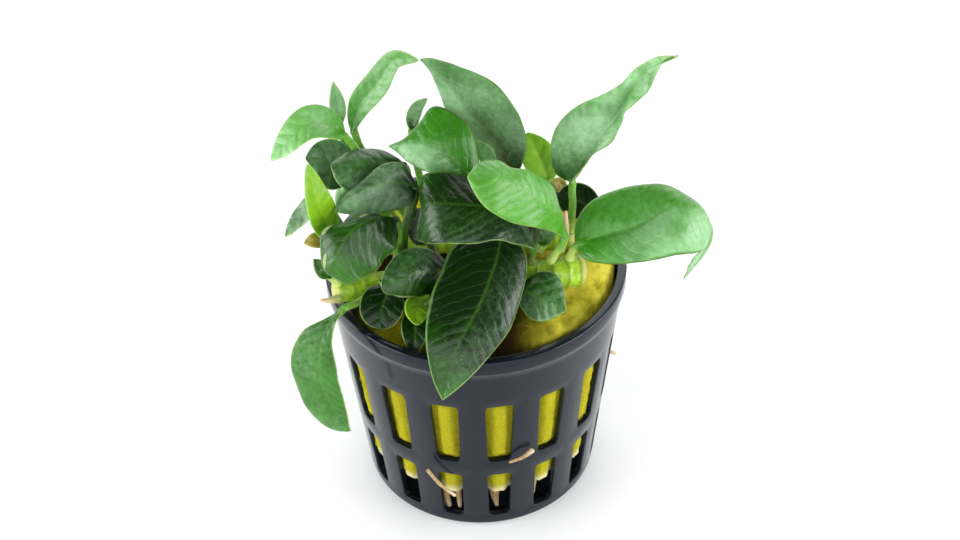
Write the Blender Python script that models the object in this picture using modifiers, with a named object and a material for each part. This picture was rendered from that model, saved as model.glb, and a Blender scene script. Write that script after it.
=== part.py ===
"""A small anubias plant growing in a slotted net pot that is filled with mineral wool.

Units in the tables are millimetres, and the meshes are made in metres, with +Z up.
The origin is the centre of the pot's underside, and -Y is the front.
Each leaf grows as one piece with its stalk: the stalk is a round tube that flattens into
the blade, so blade and stalk are one loft between unlike sections.
"""

import math

import bmesh
import bpy
from mathutils import Vector

MM = 0.001

# ---- net pot ---------------------------------------------------------------------------
POT_HEIGHT = 47.5
RIM_RADIUS = 27.5
RIM_DEPTH = 3.0
RIM_STEP = 0.5
RIM_ROUND = 0.3
BASE_RADIUS = 21.9
WALL = 1.2
FLOOR = 1.5
FOOT_ROUND = 1.0
FOOT_BEVEL = 0.7
POT_SEGMENTS = 64
SLOT_COLUMNS = 16
SLOT_TURN = math.radians(7.7)
CUT_DEPTH = 6.0
UPPER_SLOT = {"low": 19.3, "high": 35.1, "width_low": 4.3, "width_high": 5.3}
LOWER_SLOT = {"low": 2.8, "high": 15.3, "width_low": 3.9, "width_high": 4.6}
FLOOR_HOLES = 8
FLOOR_HOLE_RADIUS = 2.0
FLOOR_HOLE_CIRCLE = 12.0
FLOOR_HOLE_CORNERS = 12

# ---- mineral wool ----------------------------------------------------------------------
GAP = 0.5
WOOL_BOTTOM = 9.5
WOOL_TOP = 45.5
WOOL_ROUND = 1.5
WOOL_SEGMENTS = 32
WOOL_RINGS = (0.92, 0.72, 0.48, 0.22)
# humps in the top: middle x and y, height, and how far they spread
WOOL_HUMPS = (
    (19.0, -3.0, 4.5, 6.0),
    (10.0, -17.0, 2.5, 8.0),
    (-14.0, -16.0, -4.0, 8.0),
    (0.0, 10.0, 1.5, 10.0),
)

# ---- rhizomes, sheaths and roots: points of the middle line, and radii at the ends ------
RHIZOMES = {
    "rhizome_right": {
        "points": [(7.5, -8.5, 51), (13, -9, 51.5), (18, -8, 51)],
        "radii": (2.2, 2.8),
    },
    "rhizome_left": {
        "points": [(-24.5, -12, 51.5), (-18, -9.5, 50.5), (-3, -7, 49.5)],
        "radii": (2.0, 2.6),
    },
    "rhizome_rear": {
        "points": [(-16, 3.5, 49.5), (0, 3, 50), (17, 2.5, 50.5)],
        "radii": (2.4, 2.6),
    },
}
SHEATHS = {
    "sheath_right": {
        "points": [(15, -6, 54.4), (16, -7, 59), (16, -6, 63)],
        "radii": (0.9, 0.3),
    },
    "sheath_left": {
        "points": [(-24.5, -14.5, 52), (-25.5, -16, 53), (-27, -17, 54)],
        "radii": (0.8, 0.25),
    },
}
ROOTS = {
    "root_left_inner": {
        "points": [(-7, -18, 9), (-7, -18.5, 5), (-6.5, -19, 2.5)],
        "radii": (0.9, 0.5),
    },
    "root_left_outer": {
        "points": [(-4.8, -19, 9), (-4.6, -19.2, 5), (-4.5, -19.2, 2.5)],
        "radii": (0.7, 0.4),
    },
    "root_middle": {
        "points": [(2, -18.5, 9), (2.2, -19, 5.5), (2.5, -19.2, 2.5)],
        "radii": (1.4, 0.4),
    },
    "root_right": {
        "points": [(9.5, -16.8, 9), (9.5, -17, 6), (9.3, -17.3, 3.7)],
        "radii": (0.8, 0.5),
    },
    "root_across_slot": {
        "points": [(-10, -24, 17.7), (-8, -24, 14), (-5.3, -23.6, 10.3)],
        "radii": (0.35, 0.3),
    },
    "root_on_ring": {
        "points": [(5, -24.6, 19.8), (7.4, -24.4, 20.8), (9.2, -23.5, 21.6)],
        "radii": (0.25, 0.45),
    },
    "root_side": {
        "points": [(23.3, 3.1, 20.6), (25, 3.4, 20.2), (26.4, 3.5, 19.4)],
        "radii": (0.5, 0.3),
    },
}

# ---- leaf loft -------------------------------------------------------------------------
STALK_RADIUS = 0.8
BLADE_THICKNESS = 0.5
STATIONS = (0.07, 0.2, 0.35, 0.5, 0.65, 0.8, 0.93)
PATH_STEPS = 16
BLADE_STEPS = 40
BLADE_MIDDLE = 19
STALK_CORNERS = 8
FLANK_STEPS = 6
FLANK_THINNING = 0.7
LEAST_RISE = 0.3
RIPPLE_SHIFT = 0.35

# edges sharper than these angles, in degrees, are shaded as edges
SHADE_PLASTIC = 35
SHADE_STEM = 50
SHADE_LEAF = 60

LEAF_COLOURS = {
    "mature": (0.030, 0.120, 0.025, 1.0),
    "young": (0.150, 0.330, 0.070, 1.0),
    "sunlit": (0.300, 0.480, 0.020, 1.0),
    "old": (0.350, 0.240, 0.040, 1.0),
}

# stem: points of the stalk, from the rhizome up.  rib: points of the midrib, heel to tip.
# left, right: either points of that margin from heel to tip, or how that half leans from
# flat, in degrees, at the midrib and at the margin.  A leaf given by its leans also has
# face: the way the upper side looks at mid-length.  width: the blade's full width.
# broad: where along the blade it is widest.  taper: above 1 for a drawn-out tip.
# camber: how far each half swells between midrib and margin, as a share of its width.
# wave: height of the ripples along the margins.  ripples: their number.
LEAVES = {
    "leaf_right_round": dict(
        stem=[(16.5, -9, 54.7)],
        rib=[(17.5, -9, 57.5), (23.5, -9.5, 60.5), (28.5, -9.5, 62), (34.5, -8, 65), (39, -7, 63.5),
             (41.5, -5.5, 58.5), (41, -4, 52), (37.5, -4, 44.5)],
        left=[(17.5, -7, 60), (20, -5, 64), (26, -3.5, 66), (33.5, -3, 65.5), (39.5, -3, 62),
              (42, -3, 56), (41.5, -2.5, 49)],
        right=[(19, -12, 57), (24, -14, 57.5), (29, -15, 58.5), (34, -15, 60), (38, -13, 58.5),
               (40, -8.5, 56), (38.5, -6, 50)],
        camber=0.06, wave=0.5, ripples=3),
    "leaf_right_tall": dict(
        stem=[(17, 0, 53.5), (17.5, -1, 60)],
        rib=[(17.5, -1, 65.5), (19.5, -1, 70.5), (22.5, -0.5, 75.5), (25.5, 0, 79.5),
             (27.5, 0, 84.5), (30, -1, 89), (35, -2, 92.5)],
        left=[(14.5, 0, 67), (13.5, 1, 71.5), (15.5, 2, 77), (20, 2, 81), (25, 1, 84.5),
              (27.5, 1, 87.5), (31, -1, 91.5)],
        right=[(20, -2, 70.5), (23.5, -3, 75.5), (26, -3, 79.5), (26, -2, 81.5), (30, -3, 86),
               (31, -2, 88.5), (32.5, -2, 91.5)],
        camber=0.05, wave=0.6, ripples=4),
    "leaf_right_shaded": dict(
        stem=[(20.5, 2, 51.5)],
        rib=[(22, 2.5, 55.5), (19, 4.5, 56.5), (15, 5, 57.5)],
        face=(0, -0.6, 0.8), width=7, broad=0.5, taper=0.6),
    "leaf_centre_light": dict(
        stem=[(13, -9.5, 54.6)],
        rib=[(15.5, -9.5, 60), (14, -11, 66.5), (11, -13, 71.5), (7, -14.5, 76), (3, -15.5, 78.5),
             (-1, -15, 78.5)],
        left=[(13, -13, 64.5), (10, -16, 68), (6, -18, 71), (2, -18.5, 74.5), (0, -17, 77)],
        right=[(15.5, -8, 63), (14, -8, 68), (13, -8, 71.5), (9.5, -10, 75.5), (6.5, -11, 77),
               (4.5, -11, 79), (1, -12.5, 79.5)],
        camber=0.05, wave=0.4, ripples=3, kind="young"),
    "leaf_centre_saddle": dict(
        stem=[(9.5, -9, 54.4)],
        rib=[(10, -11, 59), (8, -12, 65.5), (3.5, -13, 70), (-2.5, -13.5, 71.5), (-7.5, -12.5, 71),
             (-9, -10, 68.5), (-7.5, -6, 66)],
        left=[(7, -16, 64.5), (3.5, -18, 67), (0, -18.5, 67), (-4, -18.5, 67), (-8, -17, 66),
              (-10, -13, 64), (-8.5, -9, 64)],
        right=[(11.5, -8, 62.5), (9.5, -7, 68), (4, -6, 71), (-1.5, -6.5, 72.5), (-5.5, -7, 73.5),
               (-8.5, -7.5, 73.5), (-9, -6.5, 70.5)],
        camber=0.03, wave=0.4, ripples=4),
    "leaf_centre_pale": dict(
        stem=[(11.5, -5.5, 54)],
        rib=[(12, -5.5, 55), (12, -4, 57), (11, -2, 60)],
        face=(0, -0.8, 0.5), width=5, broad=0.45),
    "leaf_front_long": dict(
        stem=[(7.5, -8, 53.8)],
        rib=[(5, -8.5, 60), (3.5, -14, 59), (0.5, -21, 55.5), (-3.5, -26.5, 51), (-6.5, -31, 42.5)],
        left=[(8, -10.5, 59.5), (9, -13.5, 57.5), (8, -17, 55), (6, -22.5, 52), (1.5, -27.5, 48.7),
              (-3.5, -30.5, 45)],
        right=[(-1, -9, 60.5), (-4.5, -12, 60), (-6, -15.5, 58.5), (-8, -20, 56), (-9, -25.5, 52.5),
               (-8, -29.5, 46)],
        camber=0.05, wave=0.35, ripples=4),
    "leaf_front_right": dict(
        stem=[(8, -11.5, 52)],
        rib=[(7, -13.5, 52.5), (11, -15.5, 52), (15.5, -16.5, 49)],
        face=(0, -0.5, 0.85), width=9.5, broad=0.5, taper=1.1),
    "leaf_front_glossy": dict(
        stem=[(-3.5, -8.5, 52.3)],
        rib=[(-4.5, -11.3, 55), (-11.3, -16, 58.3), (-16.3, -17.5, 56.3)],
        face=(0, -0.5, 0.8), width=9.5, broad=0.45, taper=0.7, left=(-30, -60), right=(10, 0)),
    "leaf_front_small": dict(
        stem=[(-4, -10.4, 50.2)],
        rib=[(-3.5, -15.5, 53.5), (-6, -19, 54), (-8, -20, 52.5)],
        face=(0, -0.6, 0.8), width=4),
    "leaf_back_broad": dict(
        stem=[(7, 4, 53)],
        rib=[(6.5, 5, 62), (4.5, 7, 67), (0.5, 9, 73), (-3.5, 9, 80), (-8.5, 8, 86.5)],
        left=[(3.5, 8, 62), (-0.5, 11, 65), (-3.5, 12, 70.5), (-5.5, 11, 77), (-7, 9, 83)],
        right=[(8.5, 3, 66), (9.5, 3, 71), (8.5, 4, 77), (5.5, 5, 81.5), (0, 6, 85), (-5.5, 7, 87)],
        camber=0.05, wave=0.3),
    "leaf_back_sunlit": dict(
        stem=[(12, 5, 52.5)],
        rib=[(13.5, 8, 58.5), (11.5, 11, 64), (10, 12, 67)],
        face=(0, -0.8, 0.5), width=6.5, broad=0.45, kind="sunlit"),
    "leaf_back_yellowing": dict(
        stem=[(17.5, 5.5, 51.5), (18.5, 9, 54)],
        rib=[(17, 9.5, 56), (15.5, 9.5, 57), (14.5, 9.5, 58)],
        face=(0, -0.7, 0.7), width=3, broad=0.45, kind="old"),
    "leaf_crown_round": dict(
        stem=[(-3, 4, 53)],
        rib=[(-1, -4, 70), (-4, -3, 73), (-7, -2, 75.5), (-10.5, -1, 75.5), (-14.5, 0, 74)],
        left=[(-4, -5.5, 71), (-7, -5.5, 72), (-9.5, -4.5, 72.5), (-12, -2, 73)],
        right=[(1, -3, 70.5), (1, -1, 73.5), (-1, 1.5, 77.5), (-6, 3, 80), (-9, 2.5, 77.5),
               (-11.5, 1, 75)],
        camber=0.06, wave=0.4, ripples=3),
    "leaf_crown_small": dict(
        stem=[(-8, 5, 52.8)],
        rib=[(-10.5, 6, 73), (-9.5, 8, 76), (-7.5, 9, 77.5)],
        face=(0, -0.5, 0.8), width=2.6),
    "leaf_crown_tip": dict(
        stem=[(2, 4, 53)],
        rib=[(3, -1, 69), (2.5, 0, 71.5), (1, 1, 74)],
        face=(0, -0.8, 0.5), width=3),
    "leaf_left_upright": dict(
        stem=[(-11.5, 5.3, 52.2)],
        rib=[(-20.5, 5.5, 73), (-19.5, 6, 78), (-16, 6, 83), (-12.5, 6, 88), (-8.5, 4, 89)],
        face=(-0.5, -0.7, 0.3), width=5, broad=0.45),
    "leaf_left_arching": dict(
        stem=[(-15, 3, 52.5)],
        rib=[(-22, 2, 75), (-27.5, 2, 78), (-35, -1, 72.5)],
        face=(0, -0.3, 0.9), width=7, broad=0.4, kind="young"),
    "leaf_left_slender": dict(
        stem=[(-14, 6, 51.5)],
        rib=[(-23.5, 8.5, 72), (-23.5, 10.5, 75), (-24, 11.5, 80)],
        face=(0, -0.9, 0.3), width=3),
    "leaf_left_rear": dict(
        stem=[(-16.5, 0.5, 51.8)],
        rib=[(-22, 3, 64), (-26, 4, 68.5), (-29.5, 4, 69)],
        face=(0, -0.5, 0.8), width=9),
    "leaf_left_upper": dict(
        stem=[(-10.5, 3, 53), (-11.5, 2, 61)],
        rib=[(-12, -1, 70.5), (-15, -2, 72), (-19.5, -3, 73), (-24.5, -3, 72.5)],
        left=[(-13.5, -5, 70.5), (-18, -6.5, 69), (-21.5, -6, 69), (-23.5, -5, 70.5)],
        right=[(-12.5, 0, 71), (-15.5, 1, 72.5), (-19, 1, 73), (-22, 0, 73), (-24, -1.5, 72.5)],
        camber=0.06),
    "leaf_left_broad": dict(
        stem=[(-13, -6.8, 53.5), (-12, -7, 62)],
        rib=[(-10, -6, 69), (-12.5, -6.5, 71), (-16, -8, 72), (-20, -9, 71), (-24, -9.5, 67.5)],
        left=[(-10.5, -7.5, 67.5), (-12.5, -8, 66.5), (-16, -9, 66.5), (-20.5, -9.5, 66.5)],
        right=[(-10.5, -4.5, 70.5), (-12, -3.5, 73), (-15, -4.5, 73.5), (-19, -6.5, 72),
               (-22, -8, 70)],
        camber=0.06, wave=0.3),
    "leaf_left_pale": dict(
        stem=[(-18, -6, 52.5)],
        rib=[(-21, -7.5, 66), (-22.3, -7.5, 68.5), (-23.3, -7.5, 71)],
        face=(0, -0.5, 0.8), width=4),
    "leaf_left_torn": dict(
        stem=[(-14, -9, 53.5)],
        rib=[(-13.5, -10, 65.5), (-16.5, -12.5, 68.5), (-20, -15, 68.5), (-22.5, -17, 66.5),
             (-23.5, -19, 63), (-22, -19.5, 59.5)],
        left=[(-13, -12, 63), (-14.5, -15, 62.5), (-17, -17.5, 61), (-20, -19, 60)],
        right=[(-16, -11, 67.5), (-19, -12, 68.5), (-23, -13, 68), (-25.5, -14, 67),
               (-26.5, -16, 64.5), (-25.5, -18, 61.5)],
        camber=0.05, wave=0.5, ripples=3.5),
    "leaf_left_curled": dict(
        stem=[(-21, -9, 53.5)],
        rib=[(-24.5, -9, 61.5), (-26.5, -10.5, 70), (-28, -8, 77)],
        face=(0.6, -0.6, 0.3), width=6, kind="sunlit"),
    "leaf_left_outer": dict(
        stem=[(-20, -5, 51.5)],
        rib=[(-27, -3, 65), (-30, -3, 62), (-33.5, -5, 58.5)],
        face=(-0.5, -0.5, 0.8), width=4),
    "leaf_left_withered": dict(
        stem=[(-23.5, -8.5, 52)],
        rib=[(-26, -7, 59), (-28, -8, 60), (-30, -8, 59.5)],
        face=(0, -0.7, 0.7), width=3, kind="old"),
    "leaf_left_stub": dict(
        stem=[(-24, -13, 54)],
        rib=[(-25.5, -13, 56), (-26.5, -13.5, 58), (-28, -13, 60)],
        face=(0, -0.7, 0.7), width=3),
    "leaf_left_hanging": dict(
        stem=[(-19, -13.3, 51), (-21.5, -15.5, 51.5)],
        rib=[(-23, -17, 52), (-26, -18.5, 49.5), (-28, -20, 44), (-27.5, -21, 35),
             (-23.5, -22, 26.5)],
        left=[(-24.5, -19.5, 51), (-25.5, -20.5, 46.5), (-25, -21.5, 41.5), (-24, -22, 33)],
        right=[(-27, -17.5, 50), (-30.5, -18, 48), (-33, -18.5, 42.5), (-32.5, -19.5, 35),
               (-30.5, -20.5, 29.5), (-27, -21.5, 26.5)],
        camber=0.05, wave=0.2),
    "leaf_rim_dark": dict(
        stem=[(-14, -12, 51)],
        rib=[(-15, -12.5, 52), (-16.5, -16, 51.5), (-17, -19, 48.5)],
        face=(0, -0.5, 0.8), width=8, broad=0.5, taper=0.5),
    "leaf_rim_yellow": dict(
        stem=[(-9.5, -11, 50)],
        rib=[(-9, -14.5, 51.5), (-10.5, -18.5, 52.5), (-10.5, -21.5, 51.5)],
        face=(0, -0.5, 0.8), width=4.5, broad=0.5, taper=0.6, kind="sunlit"),
    "leaf_rim_narrow": dict(
        stem=[(-11.5, -11, 49)],
        rib=[(-11, -15.5, 49.5), (-11, -19.5, 48), (-11.5, -22, 45)],
        face=(0, -0.5, 0.8), width=5),
    "leaf_rim_curved": dict(
        stem=[(-8, -10.7, 51.6)],
        rib=[(-9, -12.5, 54), (-13, -15, 55), (-17, -14, 55.5)],
        face=(0, -0.5, 0.8), width=5),
    "leaf_gap_dark": dict(
        stem=[(-7, -4, 51.5)],
        rib=[(-8, -2.5, 54), (-10, -2, 58), (-12, -1.5, 61.5)],
        face=(0, -0.5, 0.8), width=6),
}


# ---- helpers ---------------------------------------------------------------------------
def clear_scene():
    for item in list(bpy.data.objects):
        bpy.data.objects.remove(item, do_unlink=True)


def make_collection(name):
    collection = bpy.data.collections.new(name)
    bpy.context.scene.collection.children.link(collection)
    return collection


def make_material(name, colour, roughness):
    material = bpy.data.materials.new(name)
    material.use_nodes = True
    shader = material.node_tree.nodes["Principled BSDF"]
    shader.inputs["Base Color"].default_value = colour
    shader.inputs["Roughness"].default_value = roughness
    shader.inputs["Metallic"].default_value = 0.0
    material.diffuse_color = colour
    return material


def add_object(name, data, collection, material=None):
    item = bpy.data.objects.new(name, data)
    collection.objects.link(item)
    if material:
        data.materials.append(material)
    return item


def smooth_shade(item, angle_deg=SHADE_PLASTIC):
    item.data.shade_smooth()
    item.data.set_sharp_from_angle(angle=math.radians(angle_deg))


def mark_cutter(item):
    item.hide_render = True
    item.display_type = "WIRE"
    return item


def cut(target, cutter):
    boolean = target.modifiers.new("cut_" + cutter.name, "BOOLEAN")
    boolean.operation = "DIFFERENCE"
    boolean.solver = "EXACT"
    boolean.object = cutter


def mix(low, high, share):
    return low + (high - low) * share


# ---- turned shapes ---------------------------------------------------------------------
def turned(name, profile_mm, segments, collection, material):
    """A closed body: the profile (radius, height) runs down the outer side, turned about Z."""
    mesh = bpy.data.meshes.new(name)
    bm = bmesh.new()
    points = [bm.verts.new((radius * MM, 0, height * MM)) for radius, height in profile_mm]
    for first, second in zip(points, points[1:]):
        bm.edges.new((first, second))
    bm.to_mesh(mesh)
    bm.free()
    item = add_object(name, mesh, collection, material)
    screw = item.modifiers.new("turn", "SCREW")
    screw.axis = "Z"
    screw.angle = math.tau
    screw.steps = segments
    screw.render_steps = segments
    screw.use_merge_vertices = True
    screw.merge_threshold = 0.00001
    return item


def wall_radius(height):
    """Outer radius of the pot's wall below the rim, in mm."""
    return mix(BASE_RADIUS, RIM_RADIUS - RIM_STEP, height / (POT_HEIGHT - RIM_DEPTH))


def inner_radius(height):
    return wall_radius(height) - WALL


# ---- net pot ---------------------------------------------------------------------------
def slot_cutter(name, slot, column, collection):
    """A tapered block that stands across the wall at one slot."""
    bm = bmesh.new()
    bmesh.ops.create_cube(bm, size=1.0)
    middle = (slot["low"] + slot["high"]) / 2
    tall = slot["high"] - slot["low"]
    for vert in bm.verts:
        width = slot["width_high"] if vert.co.z > 0 else slot["width_low"]
        vert.co = Vector((vert.co.x * CUT_DEPTH, vert.co.y * width, vert.co.z * tall)) * MM
    mesh = bpy.data.meshes.new(name)
    bm.to_mesh(mesh)
    bm.free()
    item = mark_cutter(add_object(name, mesh, collection))
    turn = -math.pi / 2 + SLOT_TURN + column * math.tau / SLOT_COLUMNS
    reach = wall_radius(middle) - WALL / 2
    item.location = Vector((reach * math.cos(turn), reach * math.sin(turn), middle)) * MM
    item.rotation_euler = (0, 0, turn)
    return item


def floor_hole_cutter(name, number, collection):
    bpy.ops.mesh.primitive_cylinder_add(
        vertices=FLOOR_HOLE_CORNERS, radius=FLOOR_HOLE_RADIUS * MM, depth=CUT_DEPTH * MM)
    item = bpy.context.object
    item.name = name
    for old in list(item.users_collection):
        old.objects.unlink(item)
    collection.objects.link(item)
    turn = (number + 0.5) * math.tau / FLOOR_HOLES
    item.location = Vector((math.cos(turn), math.sin(turn), 0)) * FLOOR_HOLE_CIRCLE * MM
    return mark_cutter(item)


def join_cutters(name, items, collection):
    """One mesh of separate blocks, so that one Boolean makes all the openings."""
    bpy.context.view_layer.update()
    bm = bmesh.new()
    for item in items:
        piece = item.data.copy()
        piece.transform(item.matrix_world)
        bm.from_mesh(piece)
        bpy.data.meshes.remove(piece)
        bpy.data.objects.remove(item, do_unlink=True)
    mesh = bpy.data.meshes.new(name)
    bm.to_mesh(mesh)
    bm.free()
    return mark_cutter(add_object(name, mesh, collection))


def make_pot(parts, cutters, material):
    step_height = POT_HEIGHT - RIM_DEPTH
    lip = RIM_RADIUS - RIM_STEP - WALL
    profile = [
        (lip, POT_HEIGHT - RIM_ROUND),
        (lip + RIM_ROUND, POT_HEIGHT),
        (RIM_RADIUS - RIM_ROUND, POT_HEIGHT),
        (RIM_RADIUS, POT_HEIGHT - RIM_ROUND),
        (RIM_RADIUS, step_height),
        (wall_radius(step_height), step_height - RIM_ROUND),
        (wall_radius(FOOT_ROUND), FOOT_ROUND),
        (BASE_RADIUS - FOOT_BEVEL, 0),
        (0, 0),
        (0, FLOOR),
        (inner_radius(FLOOR), FLOOR),
        (lip, POT_HEIGHT - RIM_ROUND),
    ]
    pot = turned("net_pot", profile, POT_SEGMENTS, parts, material)
    blocks = []
    for column in range(SLOT_COLUMNS):
        for row, slot in (("upper", UPPER_SLOT), ("lower", LOWER_SLOT)):
            blocks.append(slot_cutter(f"slot_{row}_{column:02d}", slot, column, cutters))
    blocks += [floor_hole_cutter(f"floor_hole_{k}", k, cutters) for k in range(FLOOR_HOLES)]
    cut(pot, join_cutters("pot_openings", blocks, cutters))
    smooth_shade(pot)
    return pot


# ---- rods: rhizomes, sheaths and roots -------------------------------------------------
def smooth_path(points, steps=PATH_STEPS):
    """Points along a smooth curve through the given points, and the index of each of them."""
    given = [Vector(point) for point in points]
    ends = [given[0] * 2 - given[1]] + given + [given[-1] * 2 - given[-2]]
    path = []
    places = []
    for before, start, end, after in zip(ends, ends[1:], ends[2:], ends[3:]):
        places.append(len(path))
        first = math.sqrt((start - before).length)
        second = math.sqrt((end - start).length)
        third = math.sqrt((after - end).length)
        out = (start - before) / first - (end - before) / (first + second) + (end - start) / second
        arrive = (end - start) / second - (after - start) / (second + third) + (after - end) / third
        for step in range(steps):
            s = step / steps
            path.append(
                start * (2 * s**3 - 3 * s**2 + 1) + out * second * (s**3 - 2 * s**2 + s)
                + end * (3 * s**2 - 2 * s**3) + arrive * second * (s**3 - s**2)
            )
    places.append(len(path))
    path.append(given[-1])
    return path, places


def spread_evenly(path, count):
    """The path again, as count + 1 points at equal distances."""
    lengths = [0.0]
    for first, second in zip(path, path[1:]):
        lengths.append(lengths[-1] + (second - first).length)
    points = []
    piece = 0
    for k in range(count + 1):
        want = lengths[-1] * k / count
        while piece < len(path) - 2 and lengths[piece + 1] < want:
            piece += 1
        span = lengths[piece + 1] - lengths[piece]
        points.append(path[piece].lerp(path[piece + 1], min(1.0, (want - lengths[piece]) / span)))
    return points


def rod(name, points, radii, collection, material, stretches=8, sides=2):
    """A tube along a smooth curve, made from a bevelled curve; radii are those of the two ends."""
    path = spread_evenly(smooth_path(points)[0], stretches)
    curve = bpy.data.curves.new(name, "CURVE")
    curve.dimensions = "3D"
    curve.bevel_depth = MM
    curve.bevel_resolution = sides
    curve.use_fill_caps = True
    spline = curve.splines.new("POLY")
    spline.points.add(len(path) - 1)
    for number, (point, place) in enumerate(zip(spline.points, path)):
        point.co = (*(place * MM), 1.0)
        point.radius = mix(radii[0], radii[1], number / stretches)
    guide = add_object(name + "_curve", curve, collection)
    bpy.context.view_layer.update()
    evaluated = guide.evaluated_get(bpy.context.evaluated_depsgraph_get())
    mesh = bpy.data.meshes.new_from_object(evaluated)
    mesh.name = name
    bm = bmesh.new()
    bm.from_mesh(mesh)
    bmesh.ops.remove_doubles(bm, verts=bm.verts, dist=0.00001)
    bmesh.ops.recalc_face_normals(bm, faces=bm.faces)
    bm.to_mesh(mesh)
    bm.free()
    mesh.materials.clear()
    bpy.data.objects.remove(guide, do_unlink=True)
    item = add_object(name, mesh, collection, material)
    smooth_shade(item, SHADE_STEM)
    return item


# ---- mineral wool ----------------------------------------------------------------------
def wool_height(x, y):
    """Height of the wool's top at a place in the pot, in mm."""
    height = WOOL_TOP
    for middle_x, middle_y, rise, spread in WOOL_HUMPS:
        distance = math.hypot(x - middle_x, y - middle_y)
        height += rise * math.exp(-((distance / spread) ** 2))
    return height


def make_wool(parts, cutters, material):
    top = inner_radius(WOOL_TOP) - GAP
    shoulder = WOOL_TOP - WOOL_ROUND
    profile = [(0, WOOL_TOP)]
    profile += [(top * ring, WOOL_TOP) for ring in reversed(WOOL_RINGS)]
    profile += [
        (inner_radius(shoulder) - GAP, shoulder),
        (inner_radius(WOOL_BOTTOM + WOOL_ROUND) - GAP, WOOL_BOTTOM + WOOL_ROUND),
        (inner_radius(WOOL_BOTTOM) - GAP - WOOL_ROUND, WOOL_BOTTOM),
        (0, WOOL_BOTTOM),
    ]
    blank = turned("wool_blank", profile, WOOL_SEGMENTS, parts, material)
    bpy.context.view_layer.update()
    mesh = bpy.data.meshes.new_from_object(blank.evaluated_get(bpy.context.evaluated_depsgraph_get()))
    bpy.data.objects.remove(blank, do_unlink=True)
    mesh.name = "wool_plug"
    for vert in mesh.vertices:
        if vert.co.z > (shoulder + 0.1) * MM:
            vert.co.z = wool_height(vert.co.x / MM, vert.co.y / MM) * MM
    wool = add_object("wool_plug", mesh, parts)
    for name, rhizome in RHIZOMES.items():
        radii = [radius + GAP for radius in rhizome["radii"]]
        bed = rod(f"bed_{name}", longer(rhizome["points"]), radii, cutters, None)
        cut(wool, mark_cutter(bed))
    smooth_shade(wool)
    return wool


def longer(points):
    """The same line, drawn out by the gap at both ends."""
    first = Vector(points[0])
    last = Vector(points[-1])
    before = (first - Vector(points[1])).normalized() * GAP
    after = (last - Vector(points[-2])).normalized() * GAP
    return [first + before, *points[1:-1], last + after]


# ---- leaves ----------------------------------------------------------------------------
def half_width(share, width, broad, taper):
    """Half the blade's width at a share of its length: round at the heel, pointed at the tip."""
    rise = max(taper * broad / (1 - broad), LEAST_RISE)
    peak = rise / (rise + taper)
    return width / 2 * (share / peak) ** rise * ((1 - share) / (1 - peak)) ** taper


def frames_along(path, middle, face):
    """Tangent, side and up directions at each point, carried along from the middle point."""
    count = len(path)
    tangents = []
    for k in range(count):
        tangents.append((path[min(k + 1, count - 1)] - path[max(k - 1, 0)]).normalized())
    sides = [None] * count
    sides[middle] = tangents[middle].cross(Vector(face)).normalized()
    for k in list(range(middle + 1, count)) + list(range(middle - 1, -1, -1)):
        near = sides[k - 1] if k > middle else sides[k + 1]
        sides[k] = (near - tangents[k] * near.dot(tangents[k])).normalized()
    return [(tangent, side, side.cross(tangent)) for tangent, side in zip(tangents, sides)]


def flank_point(reach, share, lean):
    """How far out and up a point lies, at a share of the way from midrib to margin."""
    out = 0.0
    up = 0.0
    step = reach * share / FLANK_STEPS
    for k in range(FLANK_STEPS):
        angle = math.radians(mix(lean[0], lean[1], share * (k + 0.5) / FLANK_STEPS))
        out += math.cos(angle) * step
        up += math.sin(angle) * step
    return out, up


def ripple(share, edge, side, wave, ripples):
    """Height of the margin's ripples, none at the midrib, heel and tip."""
    phase = RIPPLE_SHIFT if side > 0 else 0.0
    return wave * edge**2 * math.sin(math.pi * share) * math.sin(math.tau * (ripples * share + phase))


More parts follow.
